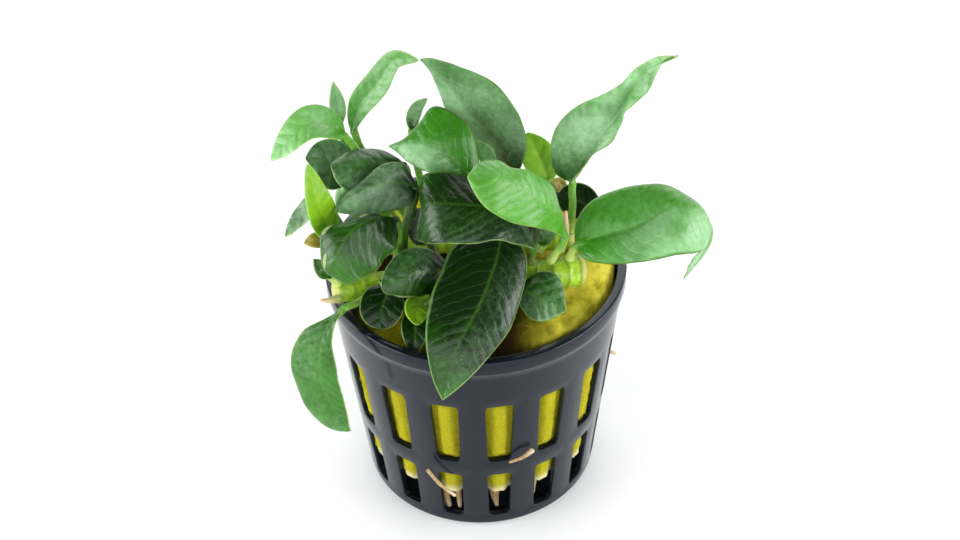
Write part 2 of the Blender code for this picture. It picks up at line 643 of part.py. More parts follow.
def make_leaf(name, parts, materials, stem, rib, left=(8, 8), right=(8, 8), face=None, width=0.0,
              broad=0.4, taper=0.8, camber=0.0, wave=0.0, ripples=2, kind="mature"):
    path, places = smooth_path(stem + rib)
    heel = places[len(stem)]
    stalk = spread_evenly(path[:heel + 1], 2 * len(stem))
    blade = spread_evenly(path[heel:], BLADE_STEPS)
    line = stalk + blade[1:]
    if face is None:
        across = Vector(right[len(right) // 2]) - Vector(left[len(left) // 2])
        face = across.cross(blade[-1] - blade[0])
    frames = frames_along(line, len(stalk) + BLADE_MIDDLE, face)
    borders = {}
    for hand, given in ((-1, left), (1, right)):
        if len(given) > 2:
            borders[hand] = spread_evenly(smooth_path([blade[0], *given, blade[-1]])[0], BLADE_STEPS)
    bm = bmesh.new()
    rings = []
    for k, place in enumerate(stalk):
        tangent, side, up = frames[k]
        ring = []
        for corner in range(STALK_CORNERS):
            turn = math.pi - corner * math.tau / STALK_CORNERS
            ring.append(place + (side * math.cos(turn) + up * math.sin(turn)) * STALK_RADIUS)
        rings.append(ring)
    for share in STATIONS:
        step = round(share * BLADE_STEPS)
        tangent, side, up = frames[len(stalk) - 1 + step]
        place = blade[step]
        thick = max(BLADE_THICKNESS, 2 * STALK_RADIUS * (1 - 3 * share)) / 2
        halves = {}
        for hand, given in ((-1, left), (1, right)):
            if hand in borders:
                margin = borders[hand][step]
                middle = place.lerp(margin, 0.5)
            else:
                reach = half_width(share, width, broad, taper)
                out, rise = flank_point(reach, 0.5, given)
                middle = place + side * hand * out + up * rise
                out, rise = flank_point(reach, 1.0, given)
                margin = place + side * hand * out + up * rise
            upward = ((margin - place) * hand).cross(tangent).normalized()
            swell = camber * (margin - place).length
            middle = middle + upward * (swell + ripple(share, 0.5, hand, wave, ripples))
            margin = margin + upward * ripple(share, 1.0, hand, wave, ripples)
            halves[hand] = (middle, margin, upward)
        left_middle, left_margin, left_up = halves[-1]
        right_middle, right_margin, right_up = halves[1]
        top = (left_up + right_up).normalized() * thick
        thin = thick * FLANK_THINNING
        rings.append([
            left_margin,
            left_middle + left_up * thin,
            place + top,
            right_middle + right_up * thin,
            right_margin,
            right_middle - right_up * thin,
            place - top,
            left_middle - left_up * thin,
        ])
    loops = [[bm.verts.new(point * MM) for point in ring] for ring in rings]
    tip = bm.verts.new(line[-1] * MM)
    for lower, upper in zip(loops, loops[1:]):
        for k in range(STALK_CORNERS):
            after = (k + 1) % STALK_CORNERS
            bm.faces.new((lower[k], lower[after], upper[after], upper[k]))
    for k in range(STALK_CORNERS):
        bm.faces.new((loops[-1][k], loops[-1][(k + 1) % STALK_CORNERS], tip))
    bm.faces.new(loops[0])
    bmesh.ops.recalc_face_normals(bm, faces=bm.faces)
    bmesh.ops.triangulate(bm, faces=bm.faces)
    mesh = bpy.data.meshes.new(name)
    bm.to_mesh(mesh)
    bm.free()
    item = add_object(name, mesh, parts, materials[kind])
    smooth_shade(item, SHADE_LEAF)
    return item


def main():
    clear_scene()
    parts = make_collection("anubias_in_net_pot")
    cutters = make_collection("cutters")
    materials = {kind: make_material("leaf_" + kind, colour, 0.3) for kind, colour in LEAF_COLOURS.items()}
    make_pot(parts, cutters, make_material("net_pot_plastic", (0.02, 0.022, 0.03, 1.0), 0.35))
    make_wool(parts, cutters, make_material("mineral_wool", (0.55, 0.45, 0.05, 1.0), 0.95))
    rhizome_skin = make_material("rhizome_skin", (0.22, 0.40, 0.03, 1.0), 0.4)
    for name, rhizome in RHIZOMES.items():
        rod(name, rhizome["points"], rhizome["radii"], parts, rhizome_skin)
    sheath_skin = make_material("sheath_skin", (0.45, 0.45, 0.15, 1.0), 0.6)
    for name, sheath in SHEATHS.items():
        rod(name, sheath["points"], sheath["radii"], parts, sheath_skin, stretches=4, sides=1)
    root_skin = make_material("root_skin", (0.55, 0.42, 0.22, 1.0), 0.6)
    for name, root in ROOTS.items():
        rod(name, root["points"], root["radii"], parts, root_skin, stretches=4, sides=1)
    for name, leaf in LEAVES.items():
        make_leaf(name, parts, materials, **leaf)


main()
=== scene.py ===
"""The looks of a small anubias in a slotted net pot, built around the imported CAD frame.

The tables are in millimetres, in the frame's own axes: the origin is the centre of the pot's
underside, +Z is up and -Y is the front.  Meshes are made in metres.
"""
import math

import bmesh
import bpy
import numpy as np
from mathutils import Matrix, Vector, noise


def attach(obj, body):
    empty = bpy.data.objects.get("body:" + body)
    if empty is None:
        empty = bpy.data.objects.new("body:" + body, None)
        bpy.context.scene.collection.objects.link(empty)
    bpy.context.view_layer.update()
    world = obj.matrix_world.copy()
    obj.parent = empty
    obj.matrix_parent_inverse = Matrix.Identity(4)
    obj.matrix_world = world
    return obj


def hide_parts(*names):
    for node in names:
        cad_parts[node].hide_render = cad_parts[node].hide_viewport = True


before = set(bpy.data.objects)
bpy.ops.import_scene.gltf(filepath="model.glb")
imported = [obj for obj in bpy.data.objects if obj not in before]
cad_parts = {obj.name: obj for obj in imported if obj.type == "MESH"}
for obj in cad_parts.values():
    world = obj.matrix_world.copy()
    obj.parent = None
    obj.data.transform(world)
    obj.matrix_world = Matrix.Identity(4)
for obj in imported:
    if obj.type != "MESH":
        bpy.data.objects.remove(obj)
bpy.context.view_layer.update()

MM = 0.001
BODY = "root"


# ---- small helpers ---------------------------------------------------------------------
def mix(low, high, share):
    return low + (high - low) * share


def smoothstep(low, high, value):
    """0 at low and 1 at high, smooth between them; low may be the larger number."""
    share = min(1.0, max(0.0, (value - low) / (high - low)))
    return share * share * (3 - 2 * share)


def smooth_path(points, steps=24):
    """Points along a smooth curve through the given points, and the index of each of them."""
    given = [Vector(point) for point in points]
    ends = [given[0] * 2 - given[1]] + given + [given[-1] * 2 - given[-2]]
    path = []
    places = []
    for before, start, end, after in zip(ends, ends[1:], ends[2:], ends[3:]):
        places.append(len(path))
        first = math.sqrt((start - before).length)
        second = math.sqrt((end - start).length)
        third = math.sqrt((after - end).length)
        out = (start - before) / first - (end - before) / (first + second) + (end - start) / second
        arrive = (end - start) / second - (after - start) / (second + third) + (after - end) / third
        for step in range(steps):
            s = step / steps
            path.append(
                start * (2 * s**3 - 3 * s**2 + 1) + out * second * (s**3 - 2 * s**2 + s)
                + end * (3 * s**2 - 2 * s**3) + arrive * second * (s**3 - s**2)
            )
    places.append(len(path))
    path.append(given[-1])
    return path, places


def spread_evenly(path, count):
    """The path again, as count + 1 points at equal distances."""
    lengths = [0.0]
    for first, second in zip(path, path[1:]):
        lengths.append(lengths[-1] + (second - first).length)
    points = []
    piece = 0
    for k in range(count + 1):
        want = lengths[-1] * k / count
        while piece < len(path) - 2 and lengths[piece + 1] < want:
            piece += 1
        span = lengths[piece + 1] - lengths[piece]
        points.append(path[piece].lerp(path[piece + 1], min(1.0, (want - lengths[piece]) / span)))
    return points


def frames_along(path, middle, face):
    """Tangent, side and up directions at each point, carried along from the middle point."""
    count = len(path)
    tangents = []
    for k in range(count):
        tangents.append((path[min(k + 1, count - 1)] - path[max(k - 1, 0)]).normalized())
    sides = [None] * count
    sides[middle] = tangents[middle].cross(Vector(face)).normalized()
    for k in list(range(middle + 1, count)) + list(range(middle - 1, -1, -1)):
        near = sides[k - 1] if k > middle else sides[k + 1]
        sides[k] = (near - tangents[k] * near.dot(tangents[k])).normalized()
    return [(tangent, side, side.cross(tangent)) for tangent, side in zip(tangents, sides)]


def piece(name, points_mm, faces, material, node=None, slot=None, marks=None, smooth=True):
    """A mesh piece that rides on the plant's one body and stands for a CAD node.

    marks are point attributes that the materials read: a name and one number per point."""
    mesh = bpy.data.meshes.new(name)
    mesh.from_pydata([tuple(c * MM for c in point) for point in points_mm], [], faces)
    mesh.validate()
    for mark, values in (marks or {}).items():
        layer = mesh.attributes.new(mark, "FLOAT", "POINT")
        layer.data.foreach_set("value", np.asarray(values, np.float32))
    item = bpy.data.objects.new(name, mesh)
    bpy.context.scene.collection.objects.link(item)
    mesh.materials.append(material)
    if smooth:
        mesh.shade_smooth()
    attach(item, BODY)
    if node:
        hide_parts(node)
    return item


def ring_faces(start, rings, count):
    """Quads between rings of points that follow each other in the list."""
    faces = []
    for ring in range(rings - 1):
        low = start + ring * count
        for k in range(count):
            after = (k + 1) % count
            faces.append((low + k, low + after, low + count + after, low + count + k))
    return faces


# ---- material helpers ------------------------------------------------------------------
class Nodes:
    """A material's node tree, with short calls for the nodes that these materials use."""

    def __init__(self, name):
        self.material = bpy.data.materials.new(name)
        self.material.use_nodes = True
        self.tree = self.material.node_tree
        self.shader = self.tree.nodes["Principled BSDF"]

    def new(self, kind, **settings):
        node = self.tree.nodes.new(kind)
        for key, value in settings.items():
            setattr(node, key, value)
        return node

    def put(self, socket, value):
        if isinstance(value, bpy.types.NodeSocket):
            self.tree.links.new(value, socket)
        else:
            socket.default_value = value

    def math(self, operation, first, second=0.0, third=0.0):
        node = self.new("ShaderNodeMath", operation=operation)
        self.put(node.inputs[0], first)
        self.put(node.inputs[1], second)
        self.put(node.inputs[2], third)
        return node.outputs[0]

    def mark(self, name):
        return self.new("ShaderNodeAttribute", attribute_name=name).outputs["Fac"]

    def place(self):
        """Object coordinates in millimetres."""
        source = self.new("ShaderNodeTexCoord").outputs["Object"]
        node = self.new("ShaderNodeVectorMath", operation="SCALE")
        self.put(node.inputs[0], source)
        node.inputs["Scale"].default_value = 1 / MM
        return node.outputs[0]

    def noise(self, vector, scale, detail=3.0, roughness=0.5, distortion=0.0):
        node = self.new("ShaderNodeTexNoise")
        self.put(node.inputs["Vector"], vector)
        node.inputs["Scale"].default_value = scale
        node.inputs["Detail"].default_value = detail
        node.inputs["Roughness"].default_value = roughness
        node.inputs["Distortion"].default_value = distortion
        return node.outputs["Fac"]

    def cells(self, vector, scale, feature="F1"):
        node = self.new("ShaderNodeTexVoronoi", feature=feature)
        self.put(node.inputs["Vector"], vector)
        node.inputs["Scale"].default_value = scale
        return node.outputs["Distance"]

    def span(self, value, low, high, to_low=0.0, to_high=1.0, curve="SMOOTHSTEP"):
        node = self.new("ShaderNodeMapRange", interpolation_type=curve)
        self.put(node.inputs["Value"], value)
        node.inputs["From Min"].default_value = low
        node.inputs["From Max"].default_value = high
        node.inputs["To Min"].default_value = to_low
        node.inputs["To Max"].default_value = to_high
        return node.outputs["Result"]

    def blend(self, share, first, second, kind="MIX"):
        node = self.new("ShaderNodeMix", data_type="RGBA", blend_type=kind)
        self.put(node.inputs["Factor"], share)
        self.put(node.inputs[6], first)
        self.put(node.inputs[7], second)
        return node.outputs[2]

    def bump(self, height, strength, distance_mm, before=None):
        node = self.new("ShaderNodeBump")
        node.inputs["Strength"].default_value = strength
        node.inputs["Distance"].default_value = distance_mm * MM
        self.put(node.inputs["Height"], height)
        if before:
            self.put(node.inputs["Normal"], before)
        return node.outputs["Normal"]

    def finish(self, colour, roughness, normal=None, **constants):
        self.put(self.shader.inputs["Base Color"], colour)
        self.put(self.shader.inputs["Roughness"], roughness)
        if normal:
            self.put(self.shader.inputs["Normal"], normal)
        for key, value in constants.items():
            self.shader.inputs[key.replace("_", " ")].default_value = value
        return self.material


def rgb(red, green, blue):
    return (red, green, blue, 1.0)


# ---- materials -------------------------------------------------------------------------
LEAF_LOOKS = {
    "mature": dict(
        deep=rgb(0.002, 0.014, 0.0005), light=rgb(0.034, 0.200, 0.003), vein=rgb(0.080, 0.260, 0.022),
        under=rgb(0.070, 0.190, 0.020), bright=rgb(0.090, 0.360, 0.030), rough=0.30, glow=0.12),
    "young": dict(
        deep=rgb(0.020, 0.130, 0.005), light=rgb(0.065, 0.260, 0.014), vein=rgb(0.140, 0.340, 0.040),
        under=rgb(0.100, 0.280, 0.030), bright=rgb(0.170, 0.480, 0.060), rough=0.30, glow=0.20),
    # sunlit: a brighter yellow-green copy of the leaf colours, painted glow of the backlight shining
    # through the blade
    "sunlit": dict(
        deep=rgb(0.090, 0.290, 0.006), light=rgb(0.300, 0.540, 0.010), vein=rgb(0.440, 0.620, 0.050),
        under=rgb(0.300, 0.500, 0.020), bright=rgb(0.400, 0.620, 0.040), rough=0.38, glow=0.35),
    "old": dict(
        deep=rgb(0.120, 0.090, 0.015), light=rgb(0.420, 0.340, 0.040), vein=rgb(0.500, 0.430, 0.100),
        under=rgb(0.350, 0.280, 0.060), bright=rgb(0.500, 0.430, 0.080), rough=0.45, glow=0.25),
}
STALK_COLOUR = rgb(0.150, 0.380, 0.040)
STALK_FOOT_COLOUR = rgb(0.420, 0.560, 0.120)
MARGIN_COLOUR = rgb(0.360, 0.520, 0.140)
SCAR_COLOUR = rgb(0.330, 0.420, 0.180)
# painted sheen colour: a pale grey-green that stands for reflection of the bright surroundings
PAINTED_SHEEN_COLOUR = rgb(0.340, 0.610, 0.320)
VEIN_SPACING = 2.3
VEIN_LEAN = 0.75
VEIN_CURVE = 0.035


def leaf_material(kind):
    """Green blade skin: side veins, midrib, thin pale margin partly painted as glow, fine cells, scars and
    specks; painted shade through the tone, and a painted pale sheen.
    """
    look = LEAF_LOOKS[kind]
    n = Nodes("leaf_" + kind)
    where = n.place()
    side = n.mark("side_mm")
    down = n.mark("down_mm")
    edge = n.mark("edge_mm")
    out = n.math("ABSOLUTE", side)
    # place along the side veins: they leave the midrib at a slant and bend towards the tip
    bent = n.math("MULTIPLY", n.math("MULTIPLY", out, out), VEIN_CURVE)
    lean = n.math("MULTIPLY", out, VEIN_LEAN)
    wobble = n.math("MULTIPLY", n.noise(where, 0.45, 2.0), 1.6)
    hand_shift = n.math("MULTIPLY", n.math("SIGN", side), VEIN_SPACING * 0.21)
    slanted = n.math("SUBTRACT", n.math("SUBTRACT", down, lean), bent)
    run = n.math("ADD", slanted, n.math("ADD", wobble, hand_shift))
    beat = n.math("PINGPONG", run, VEIN_SPACING / 2)
    line = n.span(beat, 0.0, 0.22, 1.0, 0.0)
    quilt = n.span(beat, 0.0, VEIN_SPACING / 2, 0.0, 1.0)
    fine_beat = n.math("PINGPONG", n.math("ADD", run, n.math("MULTIPLY", out, 0.3)), VEIN_SPACING / 8)
    fine_line = n.span(fine_beat, 0.0, 0.12, 1.0, 0.0)
    rib = n.span(out, 0.10, 0.45, 1.0, 0.0)
    blade = n.mark("blade")
    patches = n.noise(where, 0.16, 4.0, 0.6)
    mottle = n.noise(where, 1.1, 5.0, 0.65)
    cell = n.cells(where, 3.2)
    # tone and shade: the leaf's own lighter and darker greens, together with painted shade that darkens
    # leaves and parts lying in shadow
    tone = n.math("ADD", n.mark("tone"), n.math("MULTIPLY", n.math("SUBTRACT", patches, 0.5), 0.8))
    tone = n.math("ADD", tone, n.math("MULTIPLY", n.math("SUBTRACT", mottle, 0.5), 0.35))
    colour = n.blend(n.span(tone, 0.0, 1.0), look["deep"], look["light"])
    colour = n.blend(n.span(tone, 1.0, 2.0), colour, look["bright"])
    faint = n.math("MULTIPLY", line, 0.10)
    colour = n.blend(faint, colour, look["vein"])
    colour = n.blend(n.math("MULTIPLY", fine_line, 0.05), colour, look["vein"])
    dark_cells = n.span(cell, 0.1, 0.6, 0.0, 0.16)
    colour = n.blend(dark_cells, colour, look["deep"])
    # painted sheen: a pale grey-green wash that stands for reflection of the bright surroundings on the
    # blade
    uneven = n.math("MULTIPLY", n.math("SUBTRACT", mottle, 0.5), 0.5)
    grain = n.span(n.math("ADD", n.mark("bloom"), uneven), 0.0, 1.0)
    bloom = n.math("MULTIPLY", grain, n.span(n.mark("bloom"), 0.0, 0.15))
    bloom = n.math("MULTIPLY", bloom, n.span(n.noise(where, 0.12, 3.0, 0.5), 0.35, 0.60, 0.35, 1.0))
    colour = n.blend(bloom, colour, PAINTED_SHEEN_COLOUR)
    rib_share = n.math("MULTIPLY", rib, n.mark("rib"))
    colour = n.blend(n.math("MULTIPLY", rib_share, 0.22), colour, look["vein"])
    # pale margin: partly the blade's own paler edge, partly painted glow of light shining through the thin
    # edge
    margin = n.span(edge, 0.08, 0.28, 0.5, 0.0)
    colour = n.blend(n.math("MULTIPLY", margin, blade), colour, MARGIN_COLOUR)
    specks = n.span(n.noise(where, 1.7, 2.0, 0.4), 0.73, 0.78, 0.0, 0.35)
    colour = n.blend(n.math("MULTIPLY", specks, blade), colour, SCAR_COLOUR)
    torn = n.noise(where, 2.4, 4.0, 0.7)
    ragged = n.math("MULTIPLY", n.math("SUBTRACT", torn, 0.5), 0.9)
    scar = n.span(n.math("ADD", n.mark("scar"), ragged), 0.45, 0.62)
    colour = n.blend(n.math("MULTIPLY", scar, 0.8), colour, SCAR_COLOUR)
    under = n.mark("under")
    back = n.blend(n.math("MULTIPLY", line, 0.3), look["under"], look["vein"])
    colour = n.blend(under, colour, back)
    foot = n.span(n.mark("foot"), 0.0, 1.0)
    stalk_colour = n.blend(foot, STALK_COLOUR, STALK_FOOT_COLOUR)
    stalk_colour = n.blend(n.span(mottle, 0.3, 0.8, 0.0, 0.35), stalk_colour, look["deep"])
    # painted shade: stalks of dark-toned leaves, down in the shaded middle, are darkened towards the
    # deepest green
    stalk_colour = n.blend(n.span(n.mark("tone"), -0.2, 0.4, 0.15, 1.0), look["deep"], stalk_colour)
    colour = n.blend(blade, stalk_colour, colour)
    rough = n.math("ADD", look["rough"], n.math("MULTIPLY", n.math("SUBTRACT", mottle, 0.5), 0.16))
    rough = n.math("ADD", rough, n.math("MULTIPLY", under, 0.2))
    rough = n.math("ADD", rough, n.math("MULTIPLY", scar, 0.25))
    veins = n.math("SUBTRACT", n.math("MULTIPLY", quilt, 1.0), n.math("MULTIPLY", line, 0.5))
    normal = n.bump(veins, 0.55, 0.12)
    normal = n.bump(n.noise(where, 0.8, 3.0, 0.5), 0.5, 0.25, normal)
    normal = n.bump(cell, 0.30, 0.05, normal)
    normal = n.bump(n.noise(where, 9.0, 3.0, 0.6), 0.25, 0.02, normal)
    return n.finish(
        colour, rough, normal, Subsurface_Weight=look["glow"], Subsurface_Radius=(0.4, 1.0, 0.2),
        Subsurface_Scale=0.6 * MM, Coat_Weight=0.10, Coat_Roughness=0.18, Specular_IOR_Level=0.30)


def pot_material():
    """Slate-black moulded plastic with a fine satin grain and faint scuffs."""
    n = Nodes("pot_plastic")
    where = n.place()
    cloud = n.noise(where, 0.25, 4.0, 0.6)
    scuff = n.span(n.noise(where, 2.2, 6.0, 0.7), 0.60, 0.74)
    colour = n.blend(cloud, rgb(0.004, 0.006, 0.010), rgb(0.008, 0.011, 0.018))
    colour = n.blend(n.math("MULTIPLY", scuff, 0.25), colour, rgb(0.040, 0.045, 0.055))
    rough = n.math("ADD", 0.15, n.math("MULTIPLY", n.math("SUBTRACT", cloud, 0.5), 0.14))
    rough = n.math("ADD", rough, n.math("MULTIPLY", scuff, 0.10))
    normal = n.bump(n.noise(where, 7.0, 3.0, 0.6), 0.10, 0.02)
    normal = n.bump(cloud, 0.20, 0.12, normal)
    return n.finish(colour, rough, normal, Specular_IOR_Level=0.28, Specular_Tint=rgb(0.86, 0.94, 1.0))


def wool_material():
    """Matted mineral wool: yellow where it is fresh; darker olive below the top, partly damp and partly
    painted shade; near-black painted shade under the leaves; brighter painted light on the dry high
    right-hand ridge.
    """
    n = Nodes("mineral_wool")
    where = n.place()
    clumps = n.noise(where, 0.30, 4.0, 0.6)
    threads = n.noise(where, 2.6, 5.0, 0.75, 1.2)
    leaf_shade = n.mark("leaf_shade")
    pale = n.mark("pale")
    colour = n.blend(n.span(threads, 0.3, 0.75), rgb(0.400, 0.350, 0.008), rgb(0.820, 0.760, 0.035))
    colour = n.blend(n.span(clumps, 0.40, 0.70, 0.0, 0.5), colour, rgb(0.520, 0.500, 0.020))
    # darker olive below the top: partly damp wool, partly painted shade on the wool in the slots
    colour = n.blend(n.math("MULTIPLY", n.mark("damp_and_shade"), 0.42), colour, rgb(0.110, 0.115, 0.006))
    # painted shade: near-black under the leaves at the front and left
    colour = n.blend(leaf_shade, colour, rgb(0.022, 0.011, 0.003))
    # brighter yellow on the high right-hand ridge: partly dry wool, partly painted light where the light
    # falls on it
    colour = n.blend(n.mark("dry_and_lit"), colour, rgb(0.900, 0.800, 0.110))
    colour = n.blend(pale, colour, rgb(0.720, 0.660, 0.420))
    normal = n.bump(threads, 0.8, 0.35)
    normal = n.bump(n.noise(where, 9.0, 4.0, 0.8), 0.6, 0.10, normal)
    return n.finish(colour, 0.9, normal, Specular_IOR_Level=0.05)


def fibre_material():
    n = Nodes("wool_fibre")
    where = n.place()
    colour = n.blend(n.noise(where, 0.9, 3.0), rgb(0.520, 0.450, 0.010), rgb(0.900, 0.840, 0.080))
    # darker below the top: partly damp, partly painted shade
    colour = n.blend(n.math("MULTIPLY", n.mark("damp_and_shade"), 0.25), colour, rgb(0.200, 0.200, 0.010))
    # painted shade under the leaves
    colour = n.blend(n.mark("leaf_shade"), colour, rgb(0.040, 0.020, 0.004))
    colour = n.blend(n.mark("pale"), colour, rgb(0.780, 0.740, 0.520))
    return n.finish(colour, 0.8, None, Specular_IOR_Level=0.08)


def rhizome_material():
    """Bright green creeping stem, ringed by old leaf scars, browner at its cut end, and darkened by
    painted shade where it runs under the leaves at the front.
    """
    n = Nodes("rhizome")
    where = n.place()
    ring = n.mark("ring")
    mottle = n.noise(where, 1.2, 4.0, 0.6)
    colour = n.blend(n.span(mottle, 0.3, 0.7), rgb(0.240, 0.480, 0.015), rgb(0.460, 0.680, 0.040))
    colour = n.blend(n.math("MULTIPLY", ring, 0.6), colour, rgb(0.160, 0.190, 0.030))
    colour = n.blend(n.math("MULTIPLY", n.mark("end"), 0.7), colour, rgb(0.480, 0.420, 0.120))
    specks = n.span(n.noise(where, 3.0, 3.0, 0.6), 0.62, 0.70, 0.0, 0.5)
    colour = n.blend(specks, colour, rgb(0.180, 0.120, 0.030))
    # painted shade: darkened where the rhizome runs under the leaves at the front
    colour = n.blend(n.mark("rhizome_shade"), colour, rgb(0.020, 0.035, 0.006))
    rough = n.math("ADD", 0.38, n.math("MULTIPLY", ring, 0.2))
    normal = n.bump(mottle, 0.5, 0.2)
    normal = n.bump(n.noise(where, 6.0, 3.0), 0.3, 0.05, normal)
    return n.finish(colour, rough, normal, Subsurface_Weight=0.2,
                    Subsurface_Scale=1.0 * MM, Coat_Weight=0.1)


def sheath_material():
    """Papery leaf sheath: pale green with a pink blush towards its tip, and long fibres."""
    n = Nodes("sheath")
    where = n.place()
    streaks = n.noise(where, 3.0, 3.0, 0.6)
    colour = n.blend(n.mark("share"), rgb(0.420, 0.560, 0.160), rgb(0.620, 0.400, 0.250))
    colour = n.blend(n.span(streaks, 0.45, 0.75, 0.0, 0.4), colour, rgb(0.700, 0.640, 0.400))
    normal = n.bump(streaks, 0.4, 0.12)
    return n.finish(colour, 0.5, normal, Subsurface_Weight=0.2, Subsurface_Scale=0.6 * MM)


def root_material():
    """Tan roots with fine hairs and pale growing tips."""
    n = Nodes("root")
    where = n.place()
    mottle = n.noise(where, 2.5, 4.0, 0.6)
    colour = n.blend(n.span(mottle, 0.3, 0.7), rgb(0.230, 0.140, 0.050), rgb(0.480, 0.340, 0.170))
    colour = n.blend(n.math("MULTIPLY", n.mark("tip"), 0.8), colour, rgb(0.620, 0.520, 0.340))
    normal = n.bump(mottle, 0.5, 0.12)
    return n.finish(colour, 0.55, normal, Subsurface_Weight=0.15, Subsurface_Scale=0.6 * MM)


# ---- net pot ---------------------------------------------------------------------------
POT_HEIGHT = 47.5
RIM_RADIUS = 27.5
RIM_DEPTH = 3.0
RIM_STEP = 0.5
BASE_RADIUS = 21.9
WALL = 1.2
FLOOR = 1.5
SLOT_COLUMNS = 16
SLOT_TURN = math.radians(7.7)
UPPER_SLOT = {"low": 19.3, "high": 35.1, "width_low": 4.3, "width_high": 5.3}
LOWER_SLOT = {"low": 2.8, "high": 15.3, "width_low": 3.9, "width_high": 4.6}
SLOT_CORNER = 0.8
SLOT_EDGE = 0.22
CELL_ACROSS = 8
CELL_TALL = 14
AROUND = SLOT_COLUMNS * CELL_ACROSS
# radius of the flat part of the floor that holds the holes
FLOOR_REACH = BASE_RADIUS - WALL - 2.0
FLOOR_HOLES = 8
FLOOR_HOLE_RADIUS = 2.0
FLOOR_HOLE_CIRCLE = 12.0


def wall_radius(height):
    """Outer radius of the pot's wall below the rim."""
    return mix(BASE_RADIUS, RIM_RADIUS - RIM_STEP, height / (POT_HEIGHT - RIM_DEPTH))


def box_loop(across, tall):
    """Shares (-1 to 1) of the points around a box: along its foot, up, back along its top, down."""
    loop = [(mix(-1, 1, k / across), -1.0) for k in range(across)]
    loop += [(1.0, mix(-1, 1, k / tall)) for k in range(tall)]
    loop += [(mix(1, -1, k / across), 1.0) for k in range(across)]
    loop += [(-1.0, mix(1, -1, k / tall)) for k in range(tall)]
    return loop


def round_box(across, tall, half_wide, half_tall, corner):
    """The same points on a box with round corners, about its own centre."""
    points = []
    for x, z in box_loop(across, tall):
        flat_x = half_wide - corner
        flat_z = half_tall - corner
        reach_x = x * half_wide
        reach_z = z * half_tall
        over_x = max(0.0, abs(reach_x) - flat_x)
        over_z = max(0.0, abs(reach_z) - flat_z)
        if over_x > 0 and over_z > 0:
            far = math.hypot(over_x, over_z)
            biggest = max(over_x, over_z)
            scale = biggest / far
            reach_x = math.copysign(flat_x + over_x * scale, reach_x)
            reach_z = math.copysign(flat_z + over_z * scale, reach_z)
        points.append((reach_x, reach_z))
    return points


def edge_steps(depth, edge, count=3):
    """Offsets and depths of the rings over a rounded edge, from the face into the hole."""
    steps = []
    for k in range(count + 1):
        turn = math.pi / 2 * k / count
        steps.append((edge * (1 - math.sin(turn)), edge * (1 - math.cos(turn))))
    back = [(offset, depth - sunk) for offset, sunk in reversed(steps)]
    return steps + back


def wall_point(angle, height, sunk):
    radius = wall_radius(height) - sunk
    return (radius * math.cos(angle), radius * math.sin(angle), height)


def slot_cell(slot, low, high, turn):
    """Rings of one wall cell with its slot: outer face, over the edge, through, inner face."""
    middle = (slot["low"] + slot["high"]) / 2
    half_tall = (slot["high"] - slot["low"]) / 2
    half_angle = math.pi / SLOT_COLUMNS
    border = [
        (turn + x * half_angle, mix(low, high, (z + 1) / 2)) for x, z in box_loop(CELL_ACROSS, CELL_TALL)
    ]
    rings = [[wall_point(angle, height, 0.0) for angle, height in border]]
    for offset, sunk in edge_steps(WALL, SLOT_EDGE):
        ring = []
        shape = round_box(CELL_ACROSS, CELL_TALL, 1.0 + offset, half_tall + offset, SLOT_CORNER + offset)
        for x, z in shape:
            height = middle + z
            wide = mix(slot["width_low"], slot["width_high"], (height - slot["low"]) / (2 * half_tall)) / 2
            flat = max(0.2, 1.0 + offset - SLOT_CORNER)
            across = x + math.copysign(wide - 1.0, x) * min(1.0, abs(x) / flat)
            ring.append(wall_point(turn + across / wall_radius(height), height, sunk))
        rings.append(ring)
    rings.append([wall_point(angle, height, WALL) for angle, height in border])
    return rings


def hole_cell(number):
    """Rings of one floor sector with its round hole: underside, through, upper side."""
    half_angle = math.pi / FLOOR_HOLES
    turn = (number + 0.5) * 2 * half_angle
    across = AROUND // FLOOR_HOLES
    tall = 6
    inner = FLOOR_HOLE_CIRCLE * 2 - (FLOOR_REACH)
    outer = FLOOR_REACH
    border = []
    circle = []
    for x, z in box_loop(across, tall):
        angle = turn + x * half_angle
        radius = mix(inner, outer, (z + 1) / 2)
        border.append((radius * math.cos(angle), radius * math.sin(angle)))
        way = math.atan2(z, x * 1.2)
        circle.append((math.cos(way), math.sin(way)))
    centre = (FLOOR_HOLE_CIRCLE * math.cos(turn), FLOOR_HOLE_CIRCLE * math.sin(turn))
    rings = [[(x, y, 0.0) for x, y in border]]
    for offset, sunk in edge_steps(FLOOR, SLOT_EDGE):
        ring = []
        for x, z in circle:
            radius = FLOOR_HOLE_RADIUS + offset
            along = centre[0] - radius * x * math.sin(turn) + radius * z * math.cos(turn)
            across_y = centre[1] + radius * x * math.cos(turn) + radius * z * math.sin(turn)
            ring.append((along, across_y, sunk))
        rings.append(ring)
    rings.append([(x, y, FLOOR) for x, y in border])
    return rings


def turned_rings(profile, start, count):
    rings = []
    for radius, height in profile:
        turns = [start + k * math.tau / count for k in range(count)]
        rings.append([(radius * math.cos(turn), radius * math.sin(turn), height) for turn in turns])
    return rings


def arc(radius_middle, height_middle, size, from_deg, to_deg, count=4):
    """Points of a quarter round in a turned profile."""
    points = []
    for k in range(count + 1):
        turn = math.radians(mix(from_deg, to_deg, k / count))
        points.append((radius_middle + size * math.cos(turn), height_middle + size * math.sin(turn)))
    return points


